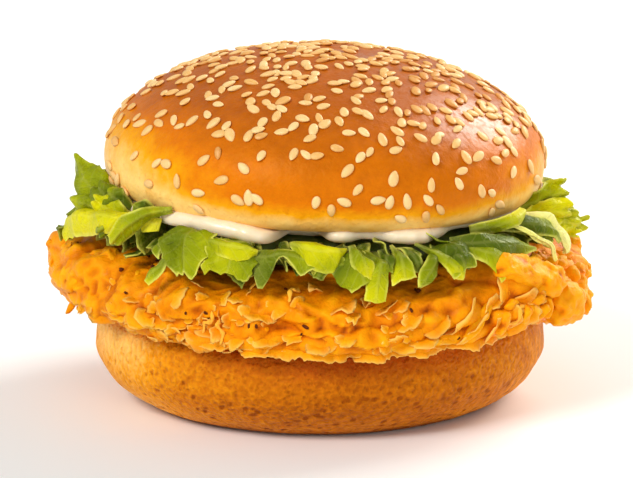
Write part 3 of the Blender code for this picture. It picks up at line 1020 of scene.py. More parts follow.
def lipSheets(skin, rng):
    sheets = []
    for first, last, height, reach in batterLips:
        share = np.linspace(0, 1, int((last - first) * 3.4))
        spots = [skin.spot(first + (last - first) * s, height) for s in share]
        row, column = np.array(spots, float).T
        soft = np.hanning(15) / np.hanning(15).sum()
        row = np.convolve(np.pad(row, 7, "edge"), soft, "valid")
        root, out = skin.at(row, first % 360 / 360 * skin.columns + share * (last - first) / 360 * skin.columns)
        out = unit(out * [1, 1, 0.3])
        along = np.stack([share * (last - first), 0 * share + height, 0 * share + 3], 1)
        ragged = 0.75 + 0.32 * wavy(along, 3.2, 71) + 0.22 * wavy(along, 1.3, 72) + 0.12 * wavy(along, 0.6, 73)
        ends = np.sqrt(np.clip(np.sin(np.pi * share), 0, 1))
        length = reach * mm * ragged * (0.25 + 0.75 * ends)
        flare = 0.55 * wavy(along, 4.0, 74) + 0.35 * wavy(along, 1.8, 75)
        across = np.linspace(0, 1, 6)
        upper, under = [], []
        for part in across:
            drop = length * part
            rise = (0.55 + flare * part) * length * part - 0.25 * mm
            spot = root + out * rise[:, None] - np.array([0, 0, 1.0]) * drop[:, None]
            thick = (0.42 - 0.24 * part) * mm
            upper.append(spot + out * thick / 2)
            under.append(spot - out * thick / 2)
        grid = np.stack(upper + under[::-1], 1)
        lips = np.concatenate([across, across[::-1]])[None, :] ** 6 + 0 * share[:, None]
        flat = np.zeros(lips.shape)
        sheets.append(closedRing(grid, {"high": flat + rng.uniform(0.2, 0.6), "lip": lips * 0.9, "hollow": flat}))
    return sheets


def makeFlakes(skin, material):
    rng = np.random.default_rng(7)
    # wide ledges along the lower edge, with their lips down
    lowEdge = np.exp(-(((skin.height - (heel["height"] + 3.2 * mm)) / (2.6 * mm)) ** 2))
    row, column = skin.pick(rng, crumb["ledges"], skin.side * lowEdge)
    long_ = (1.6 + 3.6 * rng.uniform(0, 1, len(row)) ** 1.5) * mm
    wide = rng.uniform(0.9, 2.1, len(row)) * mm
    lipTurn = rng.normal(-np.pi / 2, 0.35, len(row))
    lift = rng.uniform(0.5, 1.5, len(row)) * mm
    lean = rng.normal(0, 0.15, len(row))
    ledges = flakeSheets(skin, rng, row, column, long_, wide, lean, lipTurn, lift)
    # smaller petals up the side, few near the top, more to the right of the front
    band = smoothStep(heel["height"] + 17 * mm, heel["height"] + 11 * mm, skin.height)
    patch = smoothStep(-0.35, 0.35, wavy(skin.grid, 15 * mm, 44))
    bare = np.maximum(0.65 * around(skin.angle, 205, 50), 0.6 * around(skin.angle, 274, 22))
    wanted = skin.side * band * (0.12 + patch) * (1 - bare)
    row, column = skin.pick(rng, crumb["petals"], wanted)
    size = rng.uniform(0, 1, len(row)) ** 1.5
    long_ = (1.0 + 2.4 * size) * mm
    wide = long_ * rng.uniform(0.50, 0.90, len(row))
    lipTurn = rng.normal(0.6, 1.2, len(row)) + np.pi * (rng.uniform(0, 1, len(row)) < 0.5)
    lift = rng.uniform(0.5, 1.0, len(row)) * long_ * 0.36
    lean = rng.normal(0.15, 0.5, len(row))
    petals = flakeSheets(skin, rng, row, column, long_, wide, lean, lipTurn, lift)
    placed = np.array([(*skin.spot(angle, height), *rest) for angle, height, *rest in frontPetals])
    long_, wide, lift = (placed[:, k] * mm for k in (2, 3, 6))
    lean, lipTurn = (np.radians(placed[:, k]) for k in (4, 5))
    calm = around(np.radians([spot[0] for spot in frontPetals]), 314, 20)
    long_, wide, lift = long_ * 1.2, wide * 1.25, lift * (1.45 - 0.5 * calm)
    front = flakeSheets(skin, rng, placed[:, 0], placed[:, 1], long_, wide, lean, lipTurn - lean, lift)
    points, faces, paints = joined([ledges, petals, front, *lipSheets(skin, rng)])
    addPiece("crustFlakes", points, faces, material, paints)


def crumbShape(rng, rows=6, columns=9, knobs=0.2):
    # a knobbly lump about 1 across
    up = np.linspace(-1, 1, rows + 2)[1:-1] * np.pi / 2
    turn = np.linspace(0, 2 * np.pi, columns, endpoint=False)
    grid = np.zeros((rows, columns, 3))
    grid[..., 0] = np.cos(up)[:, None] * np.cos(turn)
    grid[..., 1] = np.cos(up)[:, None] * np.sin(turn)
    grid[..., 2] = np.sin(up)[:, None]
    shift = rng.uniform(0, 50)
    bumps = wavy(grid + shift, 0.9, 5) + 0.5 * wavy(grid + shift, 0.45, 6)
    grid = grid * (0.5 + knobs * bumps)[..., None]
    points, faces, _ = closedRing(grid, {"x": np.zeros(grid.shape[:2])})
    return points, faces


def noduleShape(rng):
    return crumbShape(rng, 10, 14, 0.18)


def lobeShape(rng, across):
    rows = 34 if across > 5.5 * mm else 18
    points, faces = crumbShape(rng, rows, rows * 3 // 2, 0.08)
    return np.sign(points) * np.abs(2 * points) ** 0.8 / 2, faces


# lobes of batter: angle, height, size along, across and outward in mm, lean in degrees, and
# how far out of the skin each one's middle is in mm
batterLobes = [
    (334.5, 26.6, 9.6, 9.4, 6.4, 84, 0.5),
    (343, 24.6, 6.0, 5.0, 4.6, 50, 0.3),
    (320.5, 36.2, 19.0, 6.6, 5.6, -26, 0.2),
    (328.0, 32.6, 8.0, 7.0, 5.6, -24, 0.6),
    (337, 34.6, 3.0, 2.6, 3.0, 0, 0.8),
    (341, 33.2, 3.4, 3.0, 3.0, 40, 0.9),
    (345, 32.0, 3.0, 2.6, 2.8, 10, 0.8),
    (349, 29.2, 3.6, 3.0, 3.2, 70, 0.9),
    (352, 26.6, 3.2, 2.8, 3.0, 20, 1.0),
    (350, 21.2, 3.6, 3.2, 3.0, 80, 0.9),
    (356, 28.4, 4.0, 3.4, 3.4, 0, 0.4),
    (326, 27.4, 5.0, 2.6, 3.0, 70, 0.4),
    (305.5, 26.2, 5.6, 2.6, 2.6, 48, -0.3),
    (309.0, 29.4, 5.0, 2.6, 2.6, 40, -0.3),
    (312.5, 26.2, 4.8, 2.4, 2.8, 62, -0.1),
    (315.5, 29.6, 4.0, 2.2, 2.6, 20, -0.2),
    (318.5, 27.4, 4.4, 2.2, 2.8, 70, 0.0),
    (322.0, 30.0, 4.0, 2.0, 2.6, 30, 0.0),
    (323.5, 26.6, 4.6, 2.2, 2.8, 80, 0.0),
    (300.0, 24.6, 5.0, 2.2, 2.2, 16, -0.2),
    (319, 24.8, 6.0, 3.6, 3.2, 80, 0.2),
    (204, 37.0, 9.0, 5.6, 3.0, 10, -0.8),
    (198, 31.0, 8.0, 5.4, 2.4, -20, -0.7),
    (191, 22.8, 2.2, 1.4, 4.4, 0, 1.0),
    (184, 37.2, 3.0, 2.2, 2.0, 20, -0.4),
    (188, 38.8, 2.6, 2.0, 1.8, 70, -0.4),
    (181, 34.2, 3.2, 2.2, 2.0, 50, -0.4),
    (187, 34.8, 2.8, 2.0, 1.8, 10, -0.3),
    (183, 30.6, 2.8, 2.2, 1.8, 80, -0.4),
    (193, 36.6, 2.4, 1.8, 1.6, 30, -0.2),
    (15, 31.0, 8.0, 6.0, 5.0, 20, 0.2),
    (38, 27.5, 7.0, 5.5, 4.5, -30, 0.2),
    (66, 31.0, 8.0, 5.0, 4.5, 30, 0.0),
    (95, 27.5, 7.0, 5.5, 4.5, -20, 0.2),
    (122, 31.5, 9.0, 5.5, 4.5, 25, 0.0),
    (150, 28.5, 7.0, 5.0, 4.5, 60, 0.2),
]


def lobeParts(skin, rng):
    parts = []
    for angle, height, *size, lean, proud in batterLobes:
        spot, out = skin.at(*(np.array([value], float) for value in skin.spot(angle, height)))
        level = unit(np.cross(np.array([[0, 0, 1.0]]), out))
        up = np.cross(out, level)
        turn = math.radians(lean)
        first = level * math.cos(turn) + up * math.sin(turn)
        axes = np.stack([first, np.cross(out, first), out], 1)
        sizes = np.array([size]) * mm
        middle = spot + out * proud * mm
        points, faces, paints = scattered(*lobeShape(rng, sizes[0, 1]), middle, axes, sizes, {})
        points = points + 0.7 * mm * wavy3(points, 4.4 * mm, 81) + 0.45 * mm * wavy3(points, 2.1 * mm, 82)
        knob = 1 - 2 * np.abs(wavy(points, 3.0 * mm, 83)) + 0.5 * wavy(points, 1.4 * mm, 84)
        deep = min(0.09 * size[1], 0.62) * mm
        points = points + unit(points - middle) * ((knob - 0.4) * deep)[:, None]
        own = rng.uniform(0.2, 0.5)
        # knobs painted lighter and pits darker: painted highlight and painted shade
        paints = {
            "high": np.clip(own + 0.4 * knob, 0, 1),
            "lip": np.zeros(len(points)),
            "hollow": np.clip(0.1 - 1.1 * knob, 0, 1),
        }
        parts.append((points, faces, paints))
    return parts


def randomAxes(out, rng, tilt):
    loose = unit(rng.normal(size=out.shape))
    first = unit(np.cross(out, loose))
    out = unit(out + first * rng.uniform(-tilt, tilt, (len(out), 1)))
    second = np.cross(out, first)
    turn = rng.uniform(0, 2 * np.pi, (len(out), 1))
    along = unit(first * np.cos(turn) + second * np.sin(turn))
    across = np.cross(out, along)
    return np.stack([along, across, np.cross(along, across)], 1)


def copiesOf(makeShape, kinds, spots, axes, sizes, own, rng):
    parts = []
    kindOf = rng.integers(0, kinds, len(spots))
    for kind in range(kinds):
        shape, faces = makeShape(rng)
        mine = kindOf == kind
        if mine.any():
            some = {key: values[mine] for key, values in own.items()}
            parts.append(scattered(shape, faces, spots[mine], axes[mine], sizes[mine], some))
    return joined(parts)


def makeNodules(skin, material):
    # popcorn-like beads of batter, thickest at the right end
    rng = np.random.default_rng(17)
    clump = smoothStep(0.15, 0.6, wavy(skin.grid, 9 * mm, 33))
    low = smoothStep(heel["height"] + 8 * mm, heel["height"] + 1 * mm, skin.height)
    wanted = skin.side * (0.05 + 0.16 * clump + 0.22 * low + 1.3 * around(skin.angle, 353, 20))
    row, column = skin.pick(rng, crumb["nodules"], wanted)
    spots, out = skin.at(row, column)
    axes = randomAxes(out, rng, 0.5)
    size = 0.8 * mm + 2.2 * mm * rng.uniform(0, 1, (len(row), 1)) ** 2.2
    sizes = size * rng.uniform(0.75, 1.3, (len(row), 3))
    ball = around(np.arctan2(spots[:, 1], spots[:, 0]), 353, 34)
    sizes[:, 2] *= 0.45 + 0.55 * ball
    sizes[:, :2] *= (1.25 - 0.25 * ball)[:, None]
    own = {
        "high": rng.uniform(0.2, 1.0, len(row)),
        "lip": rng.uniform(0.0, 0.45, len(row)) ** 2,
        "hollow": np.zeros(len(row)),
    }
    spots = spots + out * size * (0.16 * ball[:, None] - 0.04)
    beads = copiesOf(noduleShape, 12, spots, axes, sizes, own, rng)
    points, faces, paints = joined([beads, *lobeParts(skin, rng)])
    addPiece("crustNodules", points, faces, material, paints)


# thin curls of batter: angle in degrees, height in mm, lean in degrees and length in mm
batterStrings = [
    (254.2, 35.8, 76, 9.5),
    (244, 28.0, 60, 6.5),
    (247, 27.0, 100, 6.0),
    (263.8, 34.4, 62, 5.0),
    (316, 27.5, 40, 7.0),
    (201, 24.0, 20, 5.5),
    (20, 30.0, 50, 8.0),
    (75, 28.0, 110, 7.0),
    (120, 30.0, 70, 8.0),
    (160, 29.0, 35, 7.0),
]


def makeStrings(skin, material):
    rng = np.random.default_rng(29)
    parts = []
    for degrees, height, lean, length in batterStrings:
        row, column = skin.spot(degrees, height)
        t = np.linspace(-0.5, 0.5, 26)
        turn = math.radians(lean)
        wiggle = 0.5 * mm * np.sin(t * 9 + rng.uniform(0, 6))
        u = (t * math.cos(turn) * length) * mm - wiggle * math.sin(turn)
        v = (t * math.sin(turn) * length) * mm + wiggle * math.cos(turn)
        line, out = skin.at(row + v / skin.rowStep, column + u / skin.columnStep)
        line = line + out * ((0.75 + 0.5 * np.sin(t * 7 + rng.uniform(0, 6))) * mm)[:, None]
        along = unit(np.gradient(line, axis=0))
        across = unit(np.cross(along, out))
        ring = np.linspace(0, 2 * np.pi, 10, endpoint=False)
        thick = 0.46 * mm * np.sqrt(np.clip(1.02 - (2 * t) ** 4, 0.1, 1)) * (1 + 0.3 * np.sin(t * 23))
        grid = line[:, None, :] + thick[:, None, None] * (
            across[:, None, :] * np.cos(ring)[None, :, None] + 0.7 * out[:, None, :] * np.sin(ring)[None, :, None]
        )
        flat = np.zeros(grid.shape[:2])
        parts.append(closedRing(grid, {"high": flat + 0.8, "lip": flat + 0.35, "hollow": flat}))
    points, faces, paints = joined(parts)
    addPiece("crustStrings", points, faces, material, paints)


def pepperMaterial():
    g = Graph("crackedPepper")
    colour = g.ramp(g.speckle(2500, 2.0), [(0.3, (0.045, 0.010, 0.003)), (0.7, (0.19, 0.036, 0.005))])
    normal = g.bump(g.speckle(3000, 2.0), 0.0001, 0.5)
    rough = g.speckle(900, 1.0) * 0.3 + 0.5
    values = {"Base Color": colour, "Roughness": rough, "Normal": normal, "Specular IOR Level": 0.1}
    return g.finish(values)


# the larger specks at the front: angle and height in mm
frontSpecks = [
    (213, 39.2),
    (214.5, 39.0),
    (213, 34.6),
    (220, 37.0),
    (222, 36.4),
    (221, 31.4),
    (239, 29.8),
    (243.5, 30.0),
    (254.5, 28.4),
    (256, 28.0),
    (261.5, 35.0),
    (267.5, 36.4),
    (267, 28.6),
    (266, 26.7),
    (295, 34.1),
    (308, 36.8),
    (332, 29.5),
]


def speckShape(rng):
    return crumbShape(rng, 6, 9, 0.34)


def makePepper(skin):
    rng = np.random.default_rng(5)
    row, column = skin.pick(rng, crumb["specks"], skin.side * (1 - 0.8 * around(skin.angle, 262, 90)))
    placed = np.array([skin.spot(*spot) for spot in frontSpecks], float)
    row, column = np.append(row, placed[:, 0]), np.append(column, placed[:, 1])
    spots, out = skin.at(row, column)
    axes = randomAxes(out, rng, 0.3)
    size = rng.uniform(0.45, 0.95, (len(row), 1))
    size[crumb["specks"] :] *= 1.25
    sizes = size * np.array([[1.4, 0.9, 0.7]]) * rng.uniform(0.75, 1.25, (len(row), 3)) * mm
    spots = spots + out * 0.20 * mm
    points, faces, paints = copiesOf(speckShape, 8, spots, axes, sizes, {}, rng)
    addPiece("pepperSpecks", points, faces, pepperMaterial(), paints)


# the lettuce: a pressed core painted dark as shade, listed shreds and filler shreds
leafLooks = {
    "thick": 0.44 * mm,
    "core": (0.030, 0.045, 0.004),
    "dark": (0.070, 0.105, 0.003),
    "green": (0.28, 0.32, 0.001),
    "lime": (0.70, 0.64, 0.001),
    "rib": (0.84, 0.78, 0.26),
    "edge": (0.80, 0.78, 0.14),
}

# Each path point is an angle in degrees, a radius and a height in mm. The sheet spreads across
# the path by "wide" in all, or by "up" and "down" on its two sides. "across" is the way it
# spreads, as shares of round, outward and upward.
# Each shred's tone sets how light its green is, partly the leaf's own colour and partly painted light and shade
# for how it is lit; fade darkens it towards its root as painted shade under the bun.
frontShreds = [
    {
        "path": [(205, 47, 44), (201, 52, 47), (195, 54.5, 51.5), (188.5, 56, 56.5)],
        "up": [4, 4.6, 4.0, 3.0, 0.6],
        "down": [4, 6, 6, 4, 0.6],
        "across": (0, -0.67, 0.74),
        "wave": (1.3, 2.4),
        "crumple": 2.0,
        "crease": 1.6,
        "tone": 0.62,
        "fade": 0.3,
        "teeth": 0.22,
    },
    {
        "path": [(210, 46, 44), (207, 50.5, 46.5), (202, 52, 49.5), (198, 52.5, 51.5)],
        "wide": [7, 8, 7, 5],
        "across": (0, -0.8, 0.6),
        "wave": (1.2, 1.9),
        "crumple": 1.8,
        "tone": 0.42,
        "fade": 0.2,
    },
    {
        "path": [(212, 48, 44.5), (209, 53, 47), (204, 55, 49.4)],
        "wide": [6, 7.5, 5],
        "across": (0.3, -0.7, 0.6),
        "wave": (1.2, 2.0),
        "crumple": 1.6,
        "tone": 0.84,
        "fade": 0.2,
        "round": 0.8,
    },
    {
        "path": [(206, 50, 45.5), (199, 55.4, 47.4), (193, 57.4, 47.4)],
        "up": [1.4, 2.4, 1.4],
        "down": [1.5, 2.5, 1.6],
        "across": (0, 0.3, -1),
        "cup": 1.4,
        "wave": (1.0, 1.8),
        "crumple": 1.4,
        "tone": 0.50,
        "fade": 0.2,
        "round": 0.6,
    },
    {
        "path": [(211, 48, 46.6), (208.5, 51.4, 49.6), (206, 52.4, 51.2)],
        "wide": [5, 6, 4],
        "across": (0.5, -0.6, 0.6),
        "wave": (0.8, 1.6),
        "tone": 0.42,
        "round": 0.7,
    },
    {
        "path": [(226, 50, 46.8), (214, 55.5, 47.4), (201, 57.4, 45.6), (191.5, 58.2, 42.1), (189, 57.8, 38.4)],
        "up": [1.2, 2.4, 2.8, 2.4, 1.6],
        "down": [1.8, 3.0, 3.8, 4.0, 2.6],
        "across": (0, 0.6, -0.8),
        "cup": 2.8,
        "crease": 0.2,
        "wave": (0.6, 2.2),
        "crumple": 1.0,
        "tone": 1.05,
        "fade": 0.1,
        "round": 1.0,
        "teeth": 0.2,
    },
    {
        "path": [(193, 55.5, 43), (190, 57.6, 40.2), (188, 58.0, 37)],
        "wide": [5, 5, 2.6],
        "across": (0.2, -0.8, 0.2),
        "wave": (0.4, 1.2),
        "tone": 0.75,
    },
    {
        "path": [(197, 55, 42), (191, 57.6, 40), (187, 59, 38.8), (184.8, 59.8, 38.9)],
        "wide": [3, 2.6, 1.8, 1.2],
        "across": (0.2, 0, 1),
        "wave": (0.3, 1.5),
        "tone": 0.35,
    },
    {
        "path": [(229, 49, 50.2), (225, 53.6, 49), (221.5, 56.8, 46), (218.5, 58.4, 42.6)],
        "wide": [3.0, 4.2, 4.6, 3.8],
        "across": (-0.45, 0.45, 0.77),
        "crease": 2.0,
        "crumple": 1.3,
        "wave": (0.7, 2.0),
        "tone": 0.66,
        "fade": 0.3,
    },
    {
        "path": [(223, 47.5, 46.5), (221.5, 51.8, 49), (220, 53.3, 50.4)],
        "wide": [4, 4.8, 3.4],
        "across": (0.7, -0.7, 0.2),
        "cup": 1.0,
        "round": 1.0,
        "tone": 0.35,
    },
    {
        "path": [(238, 46, 45), (238, 52, 48), (238.2, 55.8, 45), (238.8, 57.8, 38.6)],
        "wide": [8, 13, 16, 14, 4],
        "across": (1, 0, 0.08),
        "wave": (1.0, 1.9),
        "crumple": 1.9,
        "tone": 0.55,
        "fade": 0.3,
        "teeth": 0.30,
        "jag": 2.2,
    },
    {
        "path": [(234.5, 56.5, 42), (231.5, 58.4, 38.6), (229.5, 59.6, 35.8)],
        "wide": [2.5, 3.4, 2.2],
        "across": (1, 0, 0.3),
        "wave": (0.3, 1),
        "tone": 0.85,
    },
    {
        "path": [(250, 47, 45), (250, 53, 46), (249.6, 56.8, 43.2), (249, 58.4, 39.6)],
        "wide": [9, 11, 12, 11],
        "across": (1, 0, 0.05),
        "wave": (1.3, 2.2),
        "crumple": 1.6,
        "tone": 0.62,
        "fade": 0.4,
        "teeth": 0.24,
        "jag": 2.0,
    },
    {
        "path": [(242, 53, 46.6), (247, 56.4, 46.2), (252.5, 56.8, 45.6), (256, 55, 45)],
        "up": [0.4, 1.4, 1.4, 0.5],
        "down": [0.6, 2.4, 2.6, 0.8],
        "across": (0, 0.6, -0.8),
        "cup": 0.9,
        "tone": 0.97,
    },
    {
        "path": [(255, 54, 43.8), (260, 55.6, 44.4), (265, 56.2, 44.4), (270, 56.2, 44.2), (275, 55, 44)],
        "up": [0.8, 1.4, 1.4, 1.2, 1],
        "down": [2.4, 8.8, 3.4, 1.0, 2.2, 4.6, 3.8, 1.6, 2, 3],
        "across": (0, 0.55, -0.83),
        "wave": (1.0, 3.2),
        "tone": 0.46,
        "fade": 0.2,
    },
    {
        "path": [(263, 53.5, 46.4), (268, 57, 46.4), (273, 57, 45.8), (276.5, 54, 45.4)],
        "up": [0.3, 2.0, 2.2, 1.6, 0.3],
        "down": [0.4, 3.4, 4.6, 3.6, 0.6],
        "across": (0, 0.6, -0.8),
        "cup": 2.2,
        "crumple": 1.3,
        "tone": 1.0,
        "fade": 0.3,
    },
    {
        "path": [(275.5, 47, 44), (276.5, 53, 45), (278, 57.2, 41.8), (279.5, 58.6, 38)],
        "wide": [7, 10, 11, 8],
        "across": (1, 0, 0.05),
        "cup": 1.1,
        "wave": (0.6, 1.4),
        "round": 0.7,
        "tone": 0.62,
    },
    {
        "path": [(277, 54, 46), (279, 57.6, 43.6), (280.3, 59, 39.6)],
        "wide": [3.6, 5, 3.4],
        "across": (1, 0, -0.2),
        "cup": 0.9,
        "round": 0.8,
        "tone": 0.97,
    },
    {
        "path": [(283, 50, 43.4), (283.4, 55.8, 42.6), (282.2, 58.4, 38.2), (281.6, 58.8, 34.2)],
        "wide": [3, 4, 4.6, 5],
        "across": (1, 0, 0.05),
        "acrossEnd": (1, 0.25, 0),
        "cup": 0.4,
        "tone": 0.85,
    },
    {
        "path": [(285, 50, 43.8), (285, 54, 43.4), (284.4, 56, 40.4)],
        "wide": [3, 3.4, 3],
        "across": (0.7, 0.7, 0.1),
        "tone": 0.15,
    },
    {
        "path": [(287.5, 50.5, 44.8), (288, 55.4, 43.2), (288.3, 57.8, 38.6)],
        "wide": [1.4, 3.4, 6.2],
        "across": (1, 0.1, 0.3),
        "tone": 0.80,
    },
    {
        "path": [(299.5, 49.5, 43.4), (297.5, 54.5, 43), (294.5, 57.4, 40), (292, 58.2, 36.8)],
        "wide": [3.6, 4, 4, 3.8],
        "across": (0.8, 0.1, -0.5),
        "round": 1.0,
        "tone": 0.56,
        "cup": 0.5,
    },
    {
        "path": [(293.5, 51, 44.8), (297, 55, 43.4), (300.5, 57.4, 40.4), (303.3, 58.2, 37)],
        "wide": [1.4, 2.2, 3.6, 4.8],
        "across": (0.8, 0.1, 0.5),
        "round": 1.0,
        "tone": 0.90,
        "cup": 0.4,
    },
    {
        "path": [(298, 47, 43.4), (301.5, 53, 44.4), (304, 56.2, 41.8)],
        "wide": [7, 8.6, 7.4],
        "across": (1, 0, 0.1),
        "cup": 0.9,
        "tone": 0.20,
    },
    {
        "path": [(299, 50, 43), (302, 56, 42), (303.5, 58, 38.8)],
        "wide": [5, 7, 7],
        "across": (1, 0, 0.1),
        "tone": 0.55,
        "wave": (0.4, 1),
    },
    {
        "path": [(303, 51.5, 44), (311, 55.2, 44.2), (319, 57.4, 42.8), (325, 58.6, 41)],
        "up": [1.5, 2, 1.6, 0.2],
        "down": [2, 3, 2.4, 0.3],
        "across": (0, 0.5, -0.85),
        "crease": 0.8,
        "tone": 0.46,
    },
    {
        "path": [(304.5, 51, 43), (308.5, 55.4, 42.8), (312.5, 58, 40), (314.5, 58.6, 36.4)],
        "wide": [3, 4, 4.8, 4.8],
        "across": (0.85, 0, 0.3),
        "round": 0.7,
        "tone": 0.92,
        "cup": 0.4,
    },
    {
        "path": [(311, 49.5, 45.8), (316.5, 53.4, 46.8), (322, 54.9, 47.8), (326, 54.8, 48.6)],
        "up": [1.0, 1.3, 1.3, 1.2],
        "down": [1.0, 1.5, 1.5, 1.2],
        "across": (0, 0.35, -0.93),
        "cup": 0.5,
        "tone": 0.97,
    },
    {
        "path": [(321, 50, 45.5), (326, 55.4, 46), (331.5, 57.6, 44.4), (335, 58.8, 41)],
        "up": [1.5, 2.2, 2, 1],
        "down": [1.5, 2, 2, 1],
        "across": (0, 0.5, -0.85),
        "cup": 0.6,
        "tone": 0.42,
    },
    {
        "path": [(262, 48, 44.2), (264.5, 53.5, 44.6), (267, 55.6, 43), (268.6, 56.4, 40.6)],
        "wide": [1.2, 1.8, 1.8, 1.2],
        "across": (0.9, 0.2, 0.4),
        "tone": 0.62,
    },
    {
        "path": [(259, 48, 43.6), (262, 53.5, 43.8), (264.8, 55.8, 41.8)],
        "wide": [1.2, 1.6, 1.2],
        "across": (0.9, 0.2, 0.4),
        "tone": 0.35,
        "fade": 0.4,
    },
    {
        "path": [(272, 48, 43.2), (271, 53, 43.6), (270, 55.8, 41.6), (269.4, 56.4, 39.4)],
        "wide": [2.2, 3.2, 3.4, 2.4],
        "across": (1, 0.1, 0.2),
        "tone": 0.20,
        "fade": 0.3,
    },
    {
        "path": [(289, 47, 43.2), (290.5, 52.5, 44.2), (292, 54.8, 42), (292.4, 55.4, 39.6)],
        "wide": [1.8, 2.4, 2.6, 1.6],
        "across": (0.9, 0.3, 0),
        "tone": 0.12,
        "fade": 0.2,
    },
    {
        "path": [(317, 48, 43), (319, 54, 43.6), (321, 56.6, 41.4), (322, 57, 38.8)],
        "wide": [2.4, 3.2, 3.4, 2.6],
        "across": (1, 0.1, 0.2),
        "tone": 0.55,
    },
    {
        "path": [(328, 49, 43.4), (331, 55, 43.4), (333.5, 57.6, 40.6)],
        "wide": [3.0, 4.0, 3.0],
        "across": (0.8, 0.3, -0.4),
        "tone": 0.35,
        "fade": 0.4,
    },
    {
        "path": [(232, 46, 44), (233, 51.5, 46), (232, 55, 44.6), (230.5, 57, 42)],
        "wide": [3, 4.4, 4.2, 2.6],
        "across": (0.8, 0.3, 0.5),
        "wave": (0.8, 1.6),
        "tone": 0.30,
        "fade": 0.3,
        "teeth": 0.25,
    },
    {
        "path": [(216, 47, 43.2), (214, 53, 44.2), (212, 55.6, 43.6), (210, 56.4, 42.8)],
        "wide": [3, 4.0, 3.4, 2.2],
        "across": (0.6, 0.3, 0.7),
        "wave": (0.9, 1.8),
        "tone": 0.40,
        "fade": 0.3,
        "teeth": 0.25,
    },
    {
        "path": [(337, 46.5, 45.5), (341, 51.5, 47.6), (344.5, 55, 48.6), (346.5, 57.0, 48.7)],
        "wide": [4, 6.4, 7.2, 6.4],
        "across": (0, -0.1, 1),
        "wave": (1.3, 2.6),
        "crumple": 1.6,
        "jag": 1.8,
        "teeth": 0.22,
        "tone": 0.74,
        "fade": 0.1,
        "round": 0.1,
    },
    {
        "path": [(335, 49, 45.2), (340, 54, 45.8), (344, 57.6, 45.0)],
        "wide": [3, 5.4, 5.6],
        "across": (0, 0.15, -1),
        "wave": (1.2, 2.6),
        "crumple": 1.5,
        "jag": 1.8,
        "teeth": 0.22,
        "tone": 1.0,
        "fade": 0.1,
        "round": 0.1,
    },
    {
        "path": [(334, 50, 43.4), (341, 55, 43.6), (347, 59, 41.8), (350, 60.6, 40)],
        "wide": [4, 5.6, 6, 5.2],
        "across": (0, 0.25, -1),
        "wave": (1.5, 3.0),
        "crumple": 1.6,
        "jag": 2.0,
        "teeth": 0.22,
        "tone": 0.95,
        "fade": 0.1,
        "round": 0.1,
    },
    {
        "path": [(329, 50, 47), (333.5, 56, 46), (337, 59, 42), (338.5, 59.8, 37.2)],
        "wide": [2.4, 3, 3, 2.2],
        "across": (0.8, -0.5, 0.1),
        "cup": 0.8,
        "rib": 1,
        "tone": 1,
    },
    {
        "path": [(320.5, 53, 46), (325, 57, 44.5), (329.5, 59.6, 41), (331.5, 60, 37.2)],
        "wide": [0.8, 0.9, 0.9, 0.7],
        "across": (0.8, -0.5, 0.1),
        "rib": 1,
        "tone": 1,
    },
]


def smoothLine(knots, t):
    # a smooth line through rows of numbers, at places from 0 to 1
    knots = np.asarray(knots, float)
    knots = np.concatenate([[2 * knots[0] - knots[1]], knots, [2 * knots[-1] - knots[-2]]])
    t = np.clip(t, 0, 1 - 1e-6) * (len(knots) - 3)
    i = t.astype(int)
    u = t - i
    if knots.ndim > 1:
        u = u[:, None]
    a, b, c, d = knots[i], knots[i + 1], knots[i + 2], knots[i + 3]
    return 0.5 * (2 * b + (c - a) * u + (2 * a - 5 * b + 4 * c - d) * u**2 + (3 * b - a - 3 * c + d) * u**3)


def keepClear(points):
    # moves leaf points out from under the crown's rim and up off the fillet
    level = heel["height"] + 0.6 * mm + fillet["thick"]
    radius = np.hypot(points[..., 0], points[..., 1])
    angle = np.arctan2(points[..., 1], points[..., 0])
    lean = math.tan(math.radians(crown["leanDeg"]))
    crownBase = level + 8.9 * mm - lean * points[..., 0]
    rise = np.clip((points[..., 2] - crownBase) / crown["rim"], 0, 1)
    least = crown["cutRadius"] + (crown["radius"] - crown["cutRadius"]) * np.sqrt(rise) + 1.0 * mm
    inside = (points[..., 2] > crownBase - 0.4 * mm) & (radius < least)
    ceiling = np.where(inside & (radius < 46 * mm), crownBase - 0.4 * mm, points[..., 2])
    factor = np.where(inside & (radius >= 46 * mm), least / np.maximum(radius, 1e-6), 1.0)
    points = np.stack([points[..., 0] * factor, points[..., 1] * factor, ceiling], -1)
    radius = radius * factor
    edge = filletOutline(angle) + 1.0 * mm
    front = np.maximum(around(angle, 270, 70), around(angle, 90, 70))
    beyond = np.clip(radius - edge + 0.6 * mm, 0, None) * 0.65 * np.minimum(front * 2, 1)
    factor = 1 - beyond / np.maximum(radius, 1e-6)
    points = points * np.stack([factor, factor, np.ones_like(factor)], -1)
    radius = radius * factor
    share = np.clip(radius / edge, 0, 1)
    shoulder = level - 0.1 * mm - 9.0 * mm * smoothStep(0.91, 1.0, share) ** 1.5
    points[..., 2] = np.where(radius < edge, np.maximum(points[..., 2], shoulder), points[..., 2])
    return points


